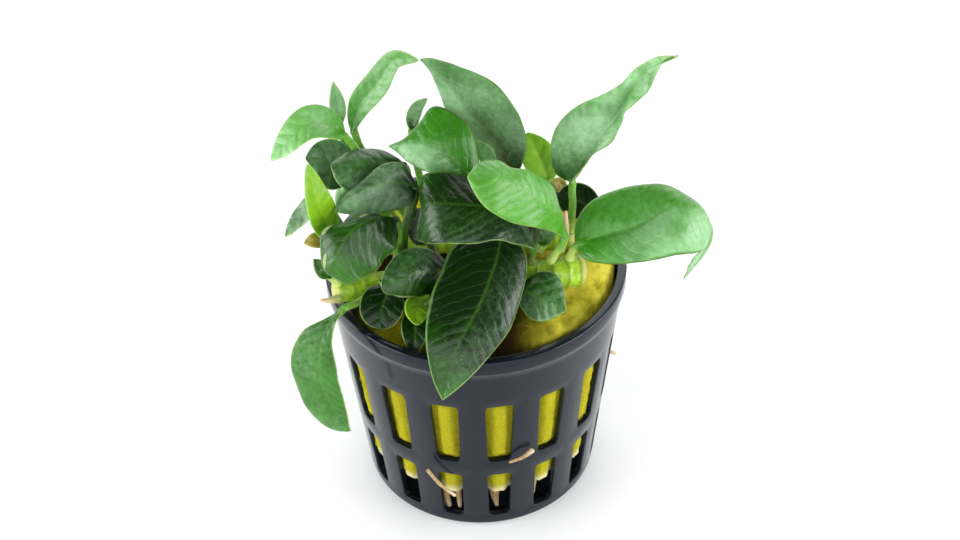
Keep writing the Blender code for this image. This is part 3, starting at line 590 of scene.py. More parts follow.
def make_pot(material):
    """The pot's wall is a pattern of cells, each a quad mesh around one slot."""
    row_split = (LOWER_SLOT["high"] + UPPER_SLOT["low"]) / 2
    wall_low = 1.6
    wall_high = UPPER_SLOT["high"] + 2.0
    first_turn = -math.pi / 2 + SLOT_TURN
    start = first_turn - math.pi / SLOT_COLUMNS
    points = []
    faces = []

    def add(rings):
        faces.extend(ring_faces(len(points), len(rings), len(rings[0])))
        for ring in rings:
            points.extend(ring)

    for column in range(SLOT_COLUMNS):
        turn = first_turn + column * math.tau / SLOT_COLUMNS
        add(slot_cell(LOWER_SLOT, wall_low, row_split, turn))
        add(slot_cell(UPPER_SLOT, row_split, wall_high, turn))
    step = POT_HEIGHT - RIM_DEPTH
    soft = 0.35
    lip = RIM_RADIUS - RIM_STEP - WALL
    rim = [(wall_radius(wall_high), wall_high)]
    rim += [(wall_radius(mix(wall_high, step, k / 4)), mix(wall_high, step, k / 4)) for k in range(1, 4)]
    rim += [(wall_radius(step), step - 0.15)]
    rim += arc(RIM_RADIUS - soft, step + soft, soft, -90, 0)
    rim += arc(RIM_RADIUS - soft, POT_HEIGHT - soft, soft, 0, 90)
    rim += arc(lip + soft, POT_HEIGHT - soft, soft, 90, 180)
    rim += [(wall_radius(wall_high) - WALL, wall_high)]
    add(turned_rings(rim, start, AROUND))
    foot = 1.0
    rings = turned_rings(
        [(FLOOR_REACH, 0.0)] + arc(wall_radius(foot) - foot, foot, foot, -90, 0, 6)
        + [(wall_radius(wall_low), wall_low)], start, AROUND)
    add(rings)
    add(turned_rings([(wall_radius(wall_low) - WALL, wall_low), (BASE_RADIUS - WALL - 0.3, FLOOR),
                      (FLOOR_REACH, FLOOR)], start, AROUND))
    inner = FLOOR_HOLE_CIRCLE * 2 - (FLOOR_REACH)
    for number in range(FLOOR_HOLES):
        add(hole_cell(number))
    for height in (0.0, FLOOR):
        base = len(points)
        disc = turned_rings([(inner, height), (inner / 2, height)], 0.0, AROUND)
        add(disc)
        points.append((0.0, 0.0, height))
        faces.extend(
            (base + AROUND + k, base + AROUND + (k + 1) % AROUND, len(points) - 1) for k in range(AROUND))
    pot = piece("pot_shell", points, faces, material, "net_pot", "pot_plastic")
    weld(pot)
    return pot


def weld(item, distance_mm=0.02):
    bm = bmesh.new()
    bm.from_mesh(item.data)
    bmesh.ops.remove_doubles(bm, verts=bm.verts, dist=distance_mm * MM)
    bmesh.ops.recalc_face_normals(bm, faces=bm.faces)
    bm.to_mesh(item.data)
    bm.free()


# ---- leaves ----------------------------------------------------------------------------
STALK_RADIUS = 0.8
BLADE_THICKNESS = 0.34
GROOVE_DEPTH = 0.16
GROOVE_WIDTH = 0.55
MARGIN_THICKNESS = 0.16
BLADE_STATIONS = 60
HALF_ACROSS = 13
LEAST_RISE = 0.3
RIPPLE_SHIFT = 0.35
LEAN_STEPS = 4

# stem: points of the stalk, from the rhizome up.  rib: points of the midrib, heel to tip.
# left, right: either points of that margin from heel to tip, or how that half leans from
# flat, in degrees, at the midrib and at the margin.  A leaf given by its leans also has
# face: the way the upper side looks at mid-length.  width: the blade's full width.
# broad: where along the blade it is widest.  taper: above 1 for a drawn-out tip.
# camber: how far each half swells between midrib and margin.
# wave: height of the ripples along the margins.  ripples: their number.
# tone and shade: 0 for the darkest green of its kind and 1 for the lightest, at the heel and the tip;
# partly the leaf's own green, partly painted shade where a leaf lies in shadow.
# painted sheen: how much pale grey-green sheen, painted in for reflection of the bright surroundings, the
# left and the right half carry.
# scars: place down and across the blade of each pale scar, with its length and width.
LEAVES = {
    "leaf_right_round": dict(
        stem=[(16.5, -9, 54.7)],
        rib=[(17.5, -9, 57.5), (23.5, -9.5, 60.5), (28.5, -9.5, 62), (34.5, -8, 65), (39, -7, 63.5),
             (41.5, -5.5, 58.5), (41, -4, 52), (37.5, -4, 44.5)],
        left=[(17.5, -7, 60), (20, -5, 64), (26, -3.5, 66), (33.5, -3, 65.5), (39.5, -3, 62),
              (42, -3, 56), (41.5, -2.5, 49)],
        right=[(19, -12, 57), (24, -14, 57.5), (29, -15, 58.5), (34, -15, 60), (38, -13, 58.5),
               (40, -8.5, 56), (38.5, -6, 50)],
        camber=0.06, wave=0.5, ripples=3, tone=(1.4, 1.4), bloom=(0.25, 0.5)),
    "leaf_right_tall": dict(
        stem=[(17, 0, 53.5), (17.5, -1, 60)],
        rib=[(17.5, -1, 65.5), (19.5, -1, 70.5), (22.5, -0.5, 75.5), (25.5, 0, 79.5),
             (27.5, 0, 84.5), (30, -1, 89), (35, -2, 92.5)],
        left=[(14.5, 0, 67), (13.5, 1, 71.5), (15.5, 2, 77), (20, 2, 81), (25, 1, 84.5),
              (27.5, 1, 87.5), (31, -1, 91.5)],
        right=[(20, -2, 70.5), (23.5, -3, 75.5), (26, -3, 79.5), (26, -2, 81.5), (30, -3, 86),
               (31, -2, 88.5), (32.5, -2, 91.5)],
        camber=0.05, wave=0.6, ripples=4, tone=(0.3, 1.1), bloom=(0.6, 0.5)),
    "leaf_right_shaded": dict(
        stem=[(20.5, 2, 51.5)],
        rib=[(22, 2.5, 55.5), (19, 4.5, 56.5), (15, 5, 57.5)],
        face=(0, -0.6, 0.8), width=7, broad=0.5, taper=0.6, tone=(0.0, 0.1)),
    "leaf_centre_light": dict(
        stem=[(13, -9.5, 54.6)],
        rib=[(15.5, -9.5, 60), (14, -11, 66.5), (11, -13, 71.5), (7, -14.5, 76), (3, -15.5, 78.5),
             (-1, -15, 78.5)],
        left=[(13, -13, 64.5), (10, -16, 68), (6, -18, 71), (2, -18.5, 74.5), (0, -17, 77)],
        right=[(15.5, -8, 63), (14, -8, 68), (13, -8, 71.5), (9.5, -10, 75.5), (6.5, -11, 77),
               (4.5, -11, 79), (1, -12.5, 79.5)],
        camber=0.05, wave=0.4, ripples=3, kind="young", tone=(0.8, 1.3), bloom=(0.12, 0.25)),
    "leaf_centre_saddle": dict(
        stem=[(9.5, -9, 54.4)],
        rib=[(10, -11, 59), (8, -12, 65.5), (3.5, -13, 70), (-2.5, -13.5, 71.5), (-7.5, -12.5, 71),
             (-9, -10, 68.5), (-7.5, -6, 66)],
        left=[(7, -16, 64.5), (3.5, -18, 67), (0, -18.5, 67), (-4, -18.5, 67), (-8, -17, 66),
              (-10, -13, 64), (-8.5, -9, 64)],
        right=[(11.5, -8, 62.5), (9.5, -7, 68), (4, -6, 71), (-1.5, -6.5, 72.5), (-5.5, -7, 73.5),
               (-8.5, -7.5, 73.5), (-9, -6.5, 70.5)],
        camber=0.03, wave=0.4, ripples=4, tone=(0.0, 0.3), bloom=(0.12, 0.0)),
    "leaf_centre_pale": dict(
        stem=[(11.5, -5.5, 54)],
        rib=[(12, -5.5, 55), (12, -4, 57), (11, -2, 60)],
        face=(0, -0.8, 0.5), width=5, broad=0.45, tone=(0.6, 0.8), bloom=(0.4, 0.4)),
    "leaf_front_long": dict(
        stem=[(7.5, -8, 53.8)],
        rib=[(5, -8.5, 60), (3.5, -14, 59), (0.5, -21, 55.5), (-3.5, -26.5, 51), (-6.5, -31, 42.5)],
        left=[(8, -10.5, 59.5), (9, -13.5, 57.5), (8, -17, 55), (6, -22.5, 52), (1.5, -27.5, 48.7),
              (-3.5, -30.5, 45)],
        right=[(-1, -9, 60.5), (-4.5, -12, 60), (-6, -15.5, 58.5), (-8, -20, 56), (-9, -25.5, 52.5),
               (-8, -29.5, 46)],
        camber=0.05, wave=0.35, ripples=4, tone=(-0.7, 0.55), bloom=(0.12, 0.0)),
    "leaf_front_right": dict(
        stem=[(8, -11.5, 52)],
        rib=[(7, -13.5, 52.5), (11, -15.5, 52), (15.5, -16.5, 49)],
        face=(0, -0.5, 0.85), width=9.5, broad=0.5, taper=1.1, tone=(0.1, 0.5), bloom=(0.1, 0.25)),
    "leaf_front_glossy": dict(
        stem=[(-3.5, -8.5, 52.3)],
        rib=[(-4.5, -11.3, 55), (-11.3, -16, 58.3), (-16.3, -17.5, 56.3)],
        face=(0, -0.5, 0.8), width=9.5, broad=0.45, taper=0.7, left=(-30, -60), right=(10, 0),
        tone=(0.15, 0.3), bloom=(0.0, 0.15)),
    "leaf_front_small": dict(
        stem=[(-4, -10.4, 50.2)],
        rib=[(-3.5, -15.5, 53.5), (-6, -19, 54), (-8, -20, 52.5)],
        face=(0, -0.6, 0.8), width=4, tone=(0.2, 0.3), bloom=(0.1, 0.1)),
    "leaf_back_broad": dict(
        stem=[(7, 4, 53)],
        rib=[(6.5, 5, 62), (4.5, 7, 67), (0.5, 9, 73), (-3.5, 9, 80), (-8.5, 8, 86.5)],
        left=[(3.5, 8, 62), (-0.5, 11, 65), (-3.5, 12, 70.5), (-5.5, 11, 77), (-7, 9, 83)],
        right=[(8.5, 3, 66), (9.5, 3, 71), (8.5, 4, 77), (5.5, 5, 81.5), (0, 6, 85), (-5.5, 7, 87)],
        camber=0.05, wave=0.3, tone=(0.0, 0.7), bloom=(0.8, 0.45)),
    "leaf_back_sunlit": dict(
        stem=[(12, 5, 52.5)],
        rib=[(13.5, 8, 58.5), (11.5, 11, 64), (10, 12, 67)],
        face=(0, -0.8, 0.5), width=6.5, broad=0.45, kind="sunlit"),
    "leaf_back_yellowing": dict(
        stem=[(17.5, 5.5, 51.5), (18.5, 9, 54)],
        rib=[(17, 9.5, 56), (15.5, 9.5, 57), (14.5, 9.5, 58)],
        face=(0, -0.7, 0.7), width=3, broad=0.45, kind="old"),
    "leaf_crown_round": dict(
        stem=[(-3, 4, 53)],
        rib=[(-1, -4, 70), (-4, -3, 73), (-7, -2, 75.5), (-10.5, -1, 75.5), (-14.5, 0, 74)],
        left=[(-4, -5.5, 71), (-7, -5.5, 72), (-9.5, -4.5, 72.5), (-12, -2, 73)],
        right=[(1, -3, 70.5), (1, -1, 73.5), (-1, 1.5, 77.5), (-6, 3, 80), (-9, 2.5, 77.5),
               (-11.5, 1, 75)],
        camber=0.06, wave=0.4, ripples=3, tone=(0.8, 0.9), bloom=(0.6, 0.1)),
    "leaf_crown_small": dict(
        stem=[(-8, 5, 52.8)],
        rib=[(-10.5, 6, 73), (-9.5, 8, 76), (-7.5, 9, 77.5)],
        face=(0, -0.5, 0.8), width=2.6, tone=(0.5, 0.6), bloom=(0.5, 0.5)),
    "leaf_crown_tip": dict(
        stem=[(2, 4, 53)],
        rib=[(3, -1, 69), (2.5, 0, 71.5), (1, 1, 74)],
        face=(0, -0.8, 0.5), width=3, tone=(0.8, 0.8), bloom=(0.3, 0.3)),
    "leaf_left_upright": dict(
        stem=[(-11.5, 5.3, 52.2)],
        rib=[(-20.5, 5.5, 73), (-19.5, 6, 78), (-16, 6, 83), (-12.5, 6, 88), (-8.5, 4, 89)],
        face=(-0.5, -0.7, 0.3), width=5, broad=0.45, tone=(0.9, 1.2), bloom=(0.25, 0.35)),
    "leaf_left_arching": dict(
        stem=[(-15, 3, 52.5)],
        rib=[(-22, 2, 75), (-27.5, 2, 78), (-35, -1, 72.5)],
        face=(0, -0.3, 0.9), width=7, broad=0.4, kind="young", tone=(1.2, 1.5), bloom=(0.5, 0.5)),
    "leaf_left_slender": dict(
        stem=[(-14, 6, 51.5)],
        rib=[(-23.5, 8.5, 72), (-23.5, 10.5, 75), (-24, 11.5, 80)],
        face=(0, -0.9, 0.3), width=3, tone=(0.6, 0.6), bloom=(0.6, 0.6)),
    "leaf_left_rear": dict(
        stem=[(-16.5, 0.5, 51.8)],
        rib=[(-22, 3, 64), (-26, 4, 68.5), (-29.5, 4, 69)],
        face=(0, -0.5, 0.8), width=9, tone=(0.2, 0.3), bloom=(0.4, 0.4)),
    "leaf_left_upper": dict(
        stem=[(-10.5, 3, 53), (-11.5, 2, 61)],
        rib=[(-12, -1, 70.5), (-15, -2, 72), (-19.5, -3, 73), (-24.5, -3, 72.5)],
        left=[(-13.5, -5, 70.5), (-18, -6.5, 69), (-21.5, -6, 69), (-23.5, -5, 70.5)],
        right=[(-12.5, 0, 71), (-15.5, 1, 72.5), (-19, 1, 73), (-22, 0, 73), (-24, -1.5, 72.5)],
        camber=0.06, tone=(0.2, 0.4), bloom=(0.2, 0.25)),
    "leaf_left_broad": dict(
        stem=[(-13, -6.8, 53.5), (-12, -7, 62)],
        rib=[(-10, -6, 69), (-12.5, -6.5, 71), (-16, -8, 72), (-20, -9, 71), (-24, -9.5, 67.5)],
        left=[(-10.5, -7.5, 67.5), (-12.5, -8, 66.5), (-16, -9, 66.5), (-20.5, -9.5, 66.5)],
        right=[(-10.5, -4.5, 70.5), (-12, -3.5, 73), (-15, -4.5, 73.5), (-19, -6.5, 72),
               (-22, -8, 70)],
        camber=0.06, wave=0.3, tone=(-0.1, 0.4), bloom=(0.45, 0.35)),
    "leaf_left_pale": dict(
        stem=[(-18, -6, 52.5)],
        rib=[(-21, -7.5, 66), (-22.3, -7.5, 68.5), (-23.3, -7.5, 71)],
        face=(0, -0.5, 0.8), width=4, tone=(0.6, 0.6), bloom=(0.7, 0.7)),
    "leaf_left_torn": dict(
        stem=[(-14, -9, 53.5)],
        rib=[(-13.5, -10, 65.5), (-16.5, -12.5, 68.5), (-20, -15, 68.5), (-22.5, -17, 66.5),
             (-23.5, -19, 63), (-22, -19.5, 59.5)],
        left=[(-13, -12, 63), (-14.5, -15, 62.5), (-17, -17.5, 61), (-20, -19, 60)],
        right=[(-16, -11, 67.5), (-19, -12, 68.5), (-23, -13, 68), (-25.5, -14, 67),
               (-26.5, -16, 64.5), (-25.5, -18, 61.5)],
        camber=0.05, wave=0.5, ripples=3.5, tone=(0.1, 0.6), bloom=(0.0, 0.0),
        scars=((11, 4, 1.8, 0.5), (16, 2.5, 1.6, 0.5), (6, 1.5, 1.5, 0.45))),
    "leaf_left_curled": dict(
        stem=[(-21, -9, 53.5)],
        rib=[(-24.5, -9, 61.5), (-26.5, -10.5, 70), (-28, -8, 77)],
        face=(0.6, -0.6, 0.3), width=6, kind="sunlit"),
    "leaf_left_outer": dict(
        stem=[(-20, -5, 51.5)],
        rib=[(-27, -3, 65), (-30, -3, 62), (-33.5, -5, 58.5)],
        face=(-0.5, -0.5, 0.8), width=4, tone=(0.1, 0.2), bloom=(0.5, 0.5)),
    "leaf_left_withered": dict(
        stem=[(-23.5, -8.5, 52)],
        rib=[(-26, -7, 59), (-28, -8, 60), (-30, -8, 59.5)],
        face=(0, -0.7, 0.7), width=3, kind="old"),
    "leaf_left_stub": dict(
        stem=[(-24, -13, 54)],
        rib=[(-25.5, -13, 56), (-26.5, -13.5, 58), (-28, -13, 60)],
        face=(0, -0.7, 0.7), width=3, tone=(0.5, 0.5)),
    "leaf_left_hanging": dict(
        stem=[(-19, -13.3, 51), (-21.5, -15.5, 51.5)],
        rib=[(-23, -17, 52), (-26, -18.5, 49.5), (-28, -20, 44), (-27.5, -21, 35),
             (-23.5, -22, 26.5)],
        left=[(-24.5, -19.5, 51), (-25.5, -20.5, 46.5), (-25, -21.5, 41.5), (-24, -22, 33)],
        right=[(-27, -17.5, 50), (-30.5, -18, 48), (-33, -18.5, 42.5), (-32.5, -19.5, 35),
               (-30.5, -20.5, 29.5), (-27, -21.5, 26.5)],
        camber=0.05, wave=0.2, tone=(0.5, 0.7), bloom=(0.1, 0.2)),
    "leaf_rim_dark": dict(
        stem=[(-14, -12, 51)],
        rib=[(-15, -12.5, 52), (-16.5, -16, 51.5), (-17, -19, 48.5)],
        face=(0, -0.5, 0.8), width=8, broad=0.5, taper=0.5, tone=(-0.2, 0.1)),
    "leaf_rim_yellow": dict(
        stem=[(-9.5, -11, 50)],
        rib=[(-9, -14.5, 51.5), (-10.5, -18.5, 52.5), (-10.5, -21.5, 51.5)],
        face=(0, -0.5, 0.8), width=4.5, broad=0.5, taper=0.6, kind="sunlit"),
    "leaf_rim_narrow": dict(
        stem=[(-11.5, -11, 49)],
        rib=[(-11, -15.5, 49.5), (-11, -19.5, 48), (-11.5, -22, 45)],
        face=(0, -0.5, 0.8), width=5, tone=(-0.1, 0.2)),
    "leaf_rim_curved": dict(
        stem=[(-8, -10.7, 51.6)],
        rib=[(-9, -12.5, 54), (-13, -15, 55), (-17, -14, 55.5)],
        face=(0, -0.5, 0.8), width=5, tone=(0.1, 0.3), bloom=(0.2, 0.2)),
    # a near-black blade set in a hollow that shows only as shade: painted shade
    "leaf_gap_dark": dict(
        stem=[(-7, -4, 51.5)],
        rib=[(-8, -2.5, 54), (-10, -2, 58), (-12, -1.5, 61.5)],
        face=(0, -0.5, 0.8), width=6, tone=(-0.4, -0.2)),
}


def half_width(share, width, broad, taper):
    """Half the blade's width at a share of its length: round at the heel, pointed at the tip."""
    rise = max(taper * broad / (1 - broad), LEAST_RISE)
    peak = rise / (rise + taper)
    return width / 2 * (share / peak) ** rise * ((1 - share) / (1 - peak)) ** taper


def leaning_half(place, side, up, reach, lean):
    """Points from the midrib to a margin, where the half leans from flat."""
    points = [place]
    steps = HALF_ACROSS * LEAN_STEPS
    spot = place
    for k in range(steps):
        angle = math.radians(mix(lean[0], lean[1], (k + 0.5) / steps))
        spot = spot + (side * math.cos(angle) + up * math.sin(angle)) * (reach / steps)
        if (k + 1) % LEAN_STEPS == 0:
            points.append(spot)
    return points


def between(path, share):
    """The point at a share of the way along a path of evenly spread points."""
    exact = share * (len(path) - 1)
    low = min(int(exact), len(path) - 2)
    return path[low].lerp(path[low + 1], exact - low)


def blade_rows(blade, frames, shares, left, right, width, broad, taper):
    """Points across the blade's middle surface at each share of its length, left margin to right."""
    rows = []
    margins = {}
    for hand, given in ((-1, left), (1, right)):
        if len(given) > 2:
            line = smooth_path([blade[0]] + list(given) + [blade[-1]])[0]
            margins[hand] = spread_evenly(line, BLADE_STATIONS)
    for share in shares:
        place = between(blade, share)
        index = min(round(share * BLADE_STATIONS), BLADE_STATIONS)
        side, up = frames[index][1:]
        halves = {}
        for hand, given in ((-1, left), (1, right)):
            if hand in margins:
                edge = between(margins[hand], share)
                halves[hand] = [place.lerp(edge, k / HALF_ACROSS) for k in range(HALF_ACROSS + 1)]
            else:
                reach = half_width(share, width, broad, taper)
                halves[hand] = leaning_half(place, side * hand, up, reach, given)
        rows.append(halves[-1][:0:-1] + halves[1])
    return rows


def row_normals(rows, above):
    """The upper side's direction at each point of the blade's middle surface."""
    normals = []
    for k, row in enumerate(rows):
        before = rows[max(k - 1, 0)]
        after = rows[min(k + 1, len(rows) - 1)]
        line = []
        for m in range(len(row)):
            across = row[min(m + 1, len(row) - 1)] - row[max(m - 1, 0)]
            along = after[m] - before[m]
            normal = across.cross(along)
            line.append(normal.normalized() if normal.length > 1e-6 else above)
        normals.append(line)
    return normals


def ripple(share, edge, side, wave, ripples):
    """Height of the margin's ripples, none at the midrib, heel and tip."""
    phase = RIPPLE_SHIFT if side > 0 else 0.0
    return wave * edge**2 * math.sin(math.pi * share) * math.sin(math.tau * (ripples * share + phase))


def make_leaf(name, materials, number, stem, rib, left=(8, 8), right=(8, 8), face=None,
              width=0.0, broad=0.4, taper=0.8, camber=0.0, wave=0.0, ripples=2,
              kind="mature", tone=(0.5, 0.5), bloom=(0.0, 0.0), scars=()):
    path, places = smooth_path(stem + rib)
    heel = places[len(stem)]
    stalk = spread_evenly(path[:heel + 1], 10 * len(stem))
    blade = spread_evenly(path[heel:], BLADE_STATIONS)
    line = stalk + blade[1:]
    if face is None:
        middle = len(left) // 2
        across = Vector(right[len(right) // 2]) - Vector(left[middle])
        face = across.cross(blade[-1] - blade[0])
    frames = frames_along(line, len(stalk) + BLADE_STATIONS // 2 - 1, face)
    length = sum((b - a).length for a, b in zip(blade, blade[1:]))
    stalk_length = sum((b - a).length for a, b in zip(stalk, stalk[1:]))
    ring_count = 4 * HALF_ACROSS
    points = []
    marks = {key: [] for key in (
        "side_mm", "down_mm", "edge_mm", "blade", "rib", "under", "tone", "bloom", "foot", "scar")}

    def note(place, **values):
        points.append(place)
        for key, numbers in marks.items():
            numbers.append(values.get(key, 0.0))

    # ring points run from the left margin over the upper side to the right, and back beneath
    spots = [(k, 0) for k in range(2 * HALF_ACROSS)]
    spots += [(2 * HALF_ACROSS - k, 1) for k in range(2 * HALF_ACROSS)]
    for k, place in enumerate(stalk):
        side, up = frames[k][1:]
        gone = k / (len(stalk) - 1)
        radius = STALK_RADIUS * mix(1.15, 0.85, smoothstep(0.0, 0.5, gone))
        for corner in range(ring_count):
            turn = math.pi - corner * math.tau / ring_count
            spot = place + (side * math.cos(turn) + up * math.sin(turn)) * radius
            foot = 1 - smoothstep(0.0, 6.0, gone * stalk_length)
            note(spot, side_mm=1.0, edge_mm=1.0, tone=tone[0], foot=foot)
    seed = Vector((number * 7.3, number * 3.1, number * 1.7))
    shares = [(station / BLADE_STATIONS) ** 1.15 for station in range(1, BLADE_STATIONS)]
    rows = blade_rows(blade, frames[len(stalk) - 1:], shares, left, right, width, broad, taper)
    normals = row_normals(rows, frames[len(stalk)][2])
    for share, row, upward in zip(shares, rows, normals):
        ridge = STALK_RADIUS * 0.85 * (1 - share) ** 1.3
        joining = 1 - smoothstep(0.0, 0.10, share)
        for column, under in spots:
            hand = -1 if column < HALF_ACROSS else 1
            edge = abs(column / HALF_ACROSS - 1)
            reach = (row[0] - row[HALF_ACROSS]).length if hand < 0 else (row[-1] - row[HALF_ACROSS]).length
            side_mm = hand * edge * reach
            rise = ripple(share, edge, hand, wave, ripples) + camber * reach * 4 * edge * (1 - edge)
            sample = Vector((side_mm, share * length, 0)) * 0.16 + seed
            rise += (noise.noise(sample) * 0.5 + noise.noise(sample * 2.7) * 0.16) * edge * 0.9
            thick = mix(BLADE_THICKNESS, MARGIN_THICKNESS, smoothstep(0.6, 1.0, edge)) / 2
            if column in (0, 2 * HALF_ACROSS):
                thick = 0.0
            swell = math.sqrt(max(0.0, 1 - (side_mm / (ridge + 0.01)) ** 2))
            if under:
                rise -= thick + ridge * swell * 0.9
            else:
                groove = GROOVE_DEPTH * math.exp(-((side_mm / GROOVE_WIDTH) ** 2)) * (1 - share)
                groove = groove * smoothstep(0.0, 0.15, share)
                rise += thick - groove + joining * ridge * swell
            spot = row[column] + upward[column] * rise
            scar = 0.0
            for centre_down, centre_side, scar_length, scar_width in scars:
                off_down = (share * length - centre_down) / scar_length
                off_side = (side_mm - centre_side) / scar_width
                away = math.hypot(off_down, off_side)
                scar = max(scar, 1 - smoothstep(0.5, 1.0, away))
            # share of painted sheen across the blade, from the left half to the right
            sheen_share = mix(bloom[0], bloom[1], smoothstep(-0.8, 0.8, side_mm)) * smoothstep(0.0, 0.35, share)
            note(spot, side_mm=side_mm, down_mm=share * length, edge_mm=reach - abs(side_mm),
                 blade=smoothstep(0.0, 0.05, share), rib=1 - smoothstep(0.45, 0.95, share),
                 under=float(under), tone=mix(tone[0], tone[1], share), bloom=sheen_share, scar=scar)
    rings = len(stalk) + len(rows)
    faces = ring_faces(0, rings, ring_count)
    note(line[-1], down_mm=length, blade=1.0, tone=tone[1])
    last = (rings - 1) * ring_count
    faces += [(last + k, last + (k + 1) % ring_count, len(points) - 1) for k in range(ring_count)]
    faces.append(tuple(range(ring_count)))
    item = piece(name + "_fine", points, faces, materials[kind], name, "leaf_" + kind, marks)
    weld(item, 0.004)
    return item


# ---- rhizomes, sheaths and roots -------------------------------------------------------
RHIZOMES = {
    "rhizome_right": {
        "points": [(7.5, -8.5, 51), (13, -9, 51.5), (18, -8, 51)],
        "radii": (2.2, 2.8),
    },
    "rhizome_left": {
        "points": [(-24.5, -12, 51.5), (-18, -9.5, 50.5), (-3, -7, 49.5)],
        "radii": (2.0, 2.6),
    },
    "rhizome_rear": {
        "points": [(-16, 3.5, 49.5), (0, 3, 50), (17, 2.5, 50.5)],
        "radii": (2.4, 2.6),
    },
}
SHEATHS = {
    "sheath_right": {
        "points": [(15, -6, 54.4), (16, -7, 59), (16, -6, 63)],
        "radii": (0.9, 0.3),
    },
    "sheath_left": {
        "points": [(-24.5, -14.5, 52), (-25.5, -16, 53), (-27, -17, 54)],
        "radii": (0.8, 0.25),
    },
}
ROOTS = {
    "root_left_inner": {
        "points": [(-7, -18, 9), (-7, -18.5, 5), (-6.5, -19, 2.5)],
        "radii": (0.9, 0.5),
    },
    "root_left_outer": {
        "points": [(-4.8, -19, 9), (-4.6, -19.2, 5), (-4.5, -19.2, 2.5)],
        "radii": (0.7, 0.4),
    },
    "root_middle": {
        "points": [(2, -18.5, 9), (2.2, -19, 5.5), (2.5, -19.2, 2.5)],
        "radii": (1.4, 0.4),
    },
    "root_right": {
        "points": [(9.5, -16.8, 9), (9.5, -17, 6), (9.3, -17.3, 3.7)],
        "radii": (0.8, 0.5),
    },
    "root_across_slot": {
        "points": [(-10, -24, 17.7), (-8, -24, 14), (-5.3, -23.6, 10.3)],
        "radii": (0.35, 0.3),
    },
    "root_on_ring": {
        "points": [(5, -24.6, 19.8), (7.4, -24.4, 20.8), (9.2, -23.5, 21.6)],
        "radii": (0.25, 0.45),
    },
    "root_side": {
        "points": [(23.3, 3.1, 20.6), (25, 3.4, 20.2), (26.4, 3.5, 19.4)],
        "radii": (0.5, 0.3),
    },
}


def make_rod(name, points_given, radii, material, slot, number,
             stretches=40, around=20, lump=0.10, ring_gap=0.0):
    """A round-ended tube with an uneven skin; ring_gap sets old leaf scars round it."""
    line = spread_evenly(smooth_path(points_given)[0], stretches)
    frames = frames_along(line, stretches // 2, (0.1, 0.2, 1.0))
    length = sum((b - a).length for a, b in zip(line, line[1:]))
    points = []
    marks = {"share": [], "ring": [], "end": [], "tip": [], "rhizome_shade": []}
    rows = []
    for k in range(6):
        turn = math.pi / 2 * k / 6
        rows.append((0, -radii[0] * 0.45 * math.cos(turn), math.sin(turn) * 0.999 + 0.001))
    rows += [(k, 0.0, 1.0) for k in range(stretches + 1)]
    for k in range(1, 6):
        turn = math.pi / 2 * k / 6
        rows.append((stretches, radii[1] * 0.6 * math.sin(turn), math.cos(turn)))
    for index, slide, shrink in rows:
        tangent, side, up = frames[index]
        share = index / stretches
        radius = mix(radii[0], radii[1], share) * shrink
        beat = 0.0
        if ring_gap:
            beat = math.exp(-((((share * length + number) / ring_gap) % 1.0 - 0.5) / 0.09) ** 2)
            radius *= 1 + 0.10 * beat * shrink
        for k in range(around):
            turn = k * math.tau / around
            way = side * math.cos(turn) + up * math.sin(turn)
            uneven = noise.noise((line[index] + way * radius) * 0.55 + Vector((number, 0, 0)))
            uneven += 0.5 * noise.noise((line[index] + way * radius) * 1.7)
            points.append(line[index] + tangent * slide + way * radius * (1 + lump * uneven))
            marks["share"].append(share)
            marks["ring"].append(beat)
            marks["end"].append(1.0 if index in (0, stretches) and shrink < 1 else 0.0)
            marks["tip"].append(smoothstep(0.55, 1.0, share))
            # painted shade: the rhizome's middle, under the leaves at the front, is darkened
            shaded_span = smoothstep(-17, -13, line[index].x) * smoothstep(9, 6, line[index].x)
            marks["rhizome_shade"].append(shaded_span * smoothstep(-2, -5, line[index].y))
    faces = ring_faces(0, len(rows), around)
    for ring, flip in ((0, False), (len(rows) - 1, True)):
        loop = tuple(range(ring * around, (ring + 1) * around))
        faces.append(loop if flip else loop[::-1])
    item = piece(name + "_fine", points, faces, material, name, slot, marks)
    weld(item, 0.004)
    return item


# ---- mineral wool ----------------------------------------------------------------------
WOOL_GAP = 0.35
WOOL_BOTTOM = 9.5
WOOL_TOP = 45.5
WOOL_AROUND = 256
WOOL_HUMPS = (
    (19.0, -3.0, 4.5, 6.0),
    (10.0, -17.0, 2.5, 8.0),
    (-14.0, -16.0, -4.0, 8.0),
    (0.0, 10.0, 1.5, 10.0),
)
TOP_RINGS = (0.985, 0.95, 0.9, 0.84, 0.78, 0.72, 0.66, 0.6,
             0.54, 0.48, 0.42, 0.36, 0.3, 0.24, 0.18, 0.12, 0.06)
WOOL_SWELL = 1.1
WOOL_BULGE = 1.9
BULGED_COLUMN = -1
TOP_ROUGHNESS = 2.0
FIBRES_TOP = 2600
FIBRES_SIDE = 2600


def wool_height(x, y):
    height = WOOL_TOP
    for middle_x, middle_y, rise, spread in WOOL_HUMPS:
        distance = math.hypot(x - middle_x, y - middle_y)
        height += rise * math.exp(-((distance / spread) ** 2))
    return height


def rough_ground(x, y, z):
    spot = Vector((x, y, z))
    return noise.fractal(spot * 0.35, 0.9, 2.1, 5) * 0.5 + noise.noise(spot * 1.7) * 0.12


def wool_outer(angle, height):
    """Radius of the plug's side: it swells a little into each slot."""
    radius = wall_radius(height) - WALL - WOOL_GAP
    column = (angle + math.pi / 2 - SLOT_TURN) / (math.tau / SLOT_COLUMNS)
    off = abs(column - round(column)) * math.tau / SLOT_COLUMNS * radius
    swell = WOOL_BULGE if round(column) == BULGED_COLUMN else WOOL_SWELL
    for slot in (UPPER_SLOT, LOWER_SLOT):
        tall = min(height - slot["low"], slot["high"] - height)
        inside = smoothstep(0.2, 1.5, tall) * (1 - smoothstep(0.9, 1.9, off))
        radius += swell * inside
    return radius


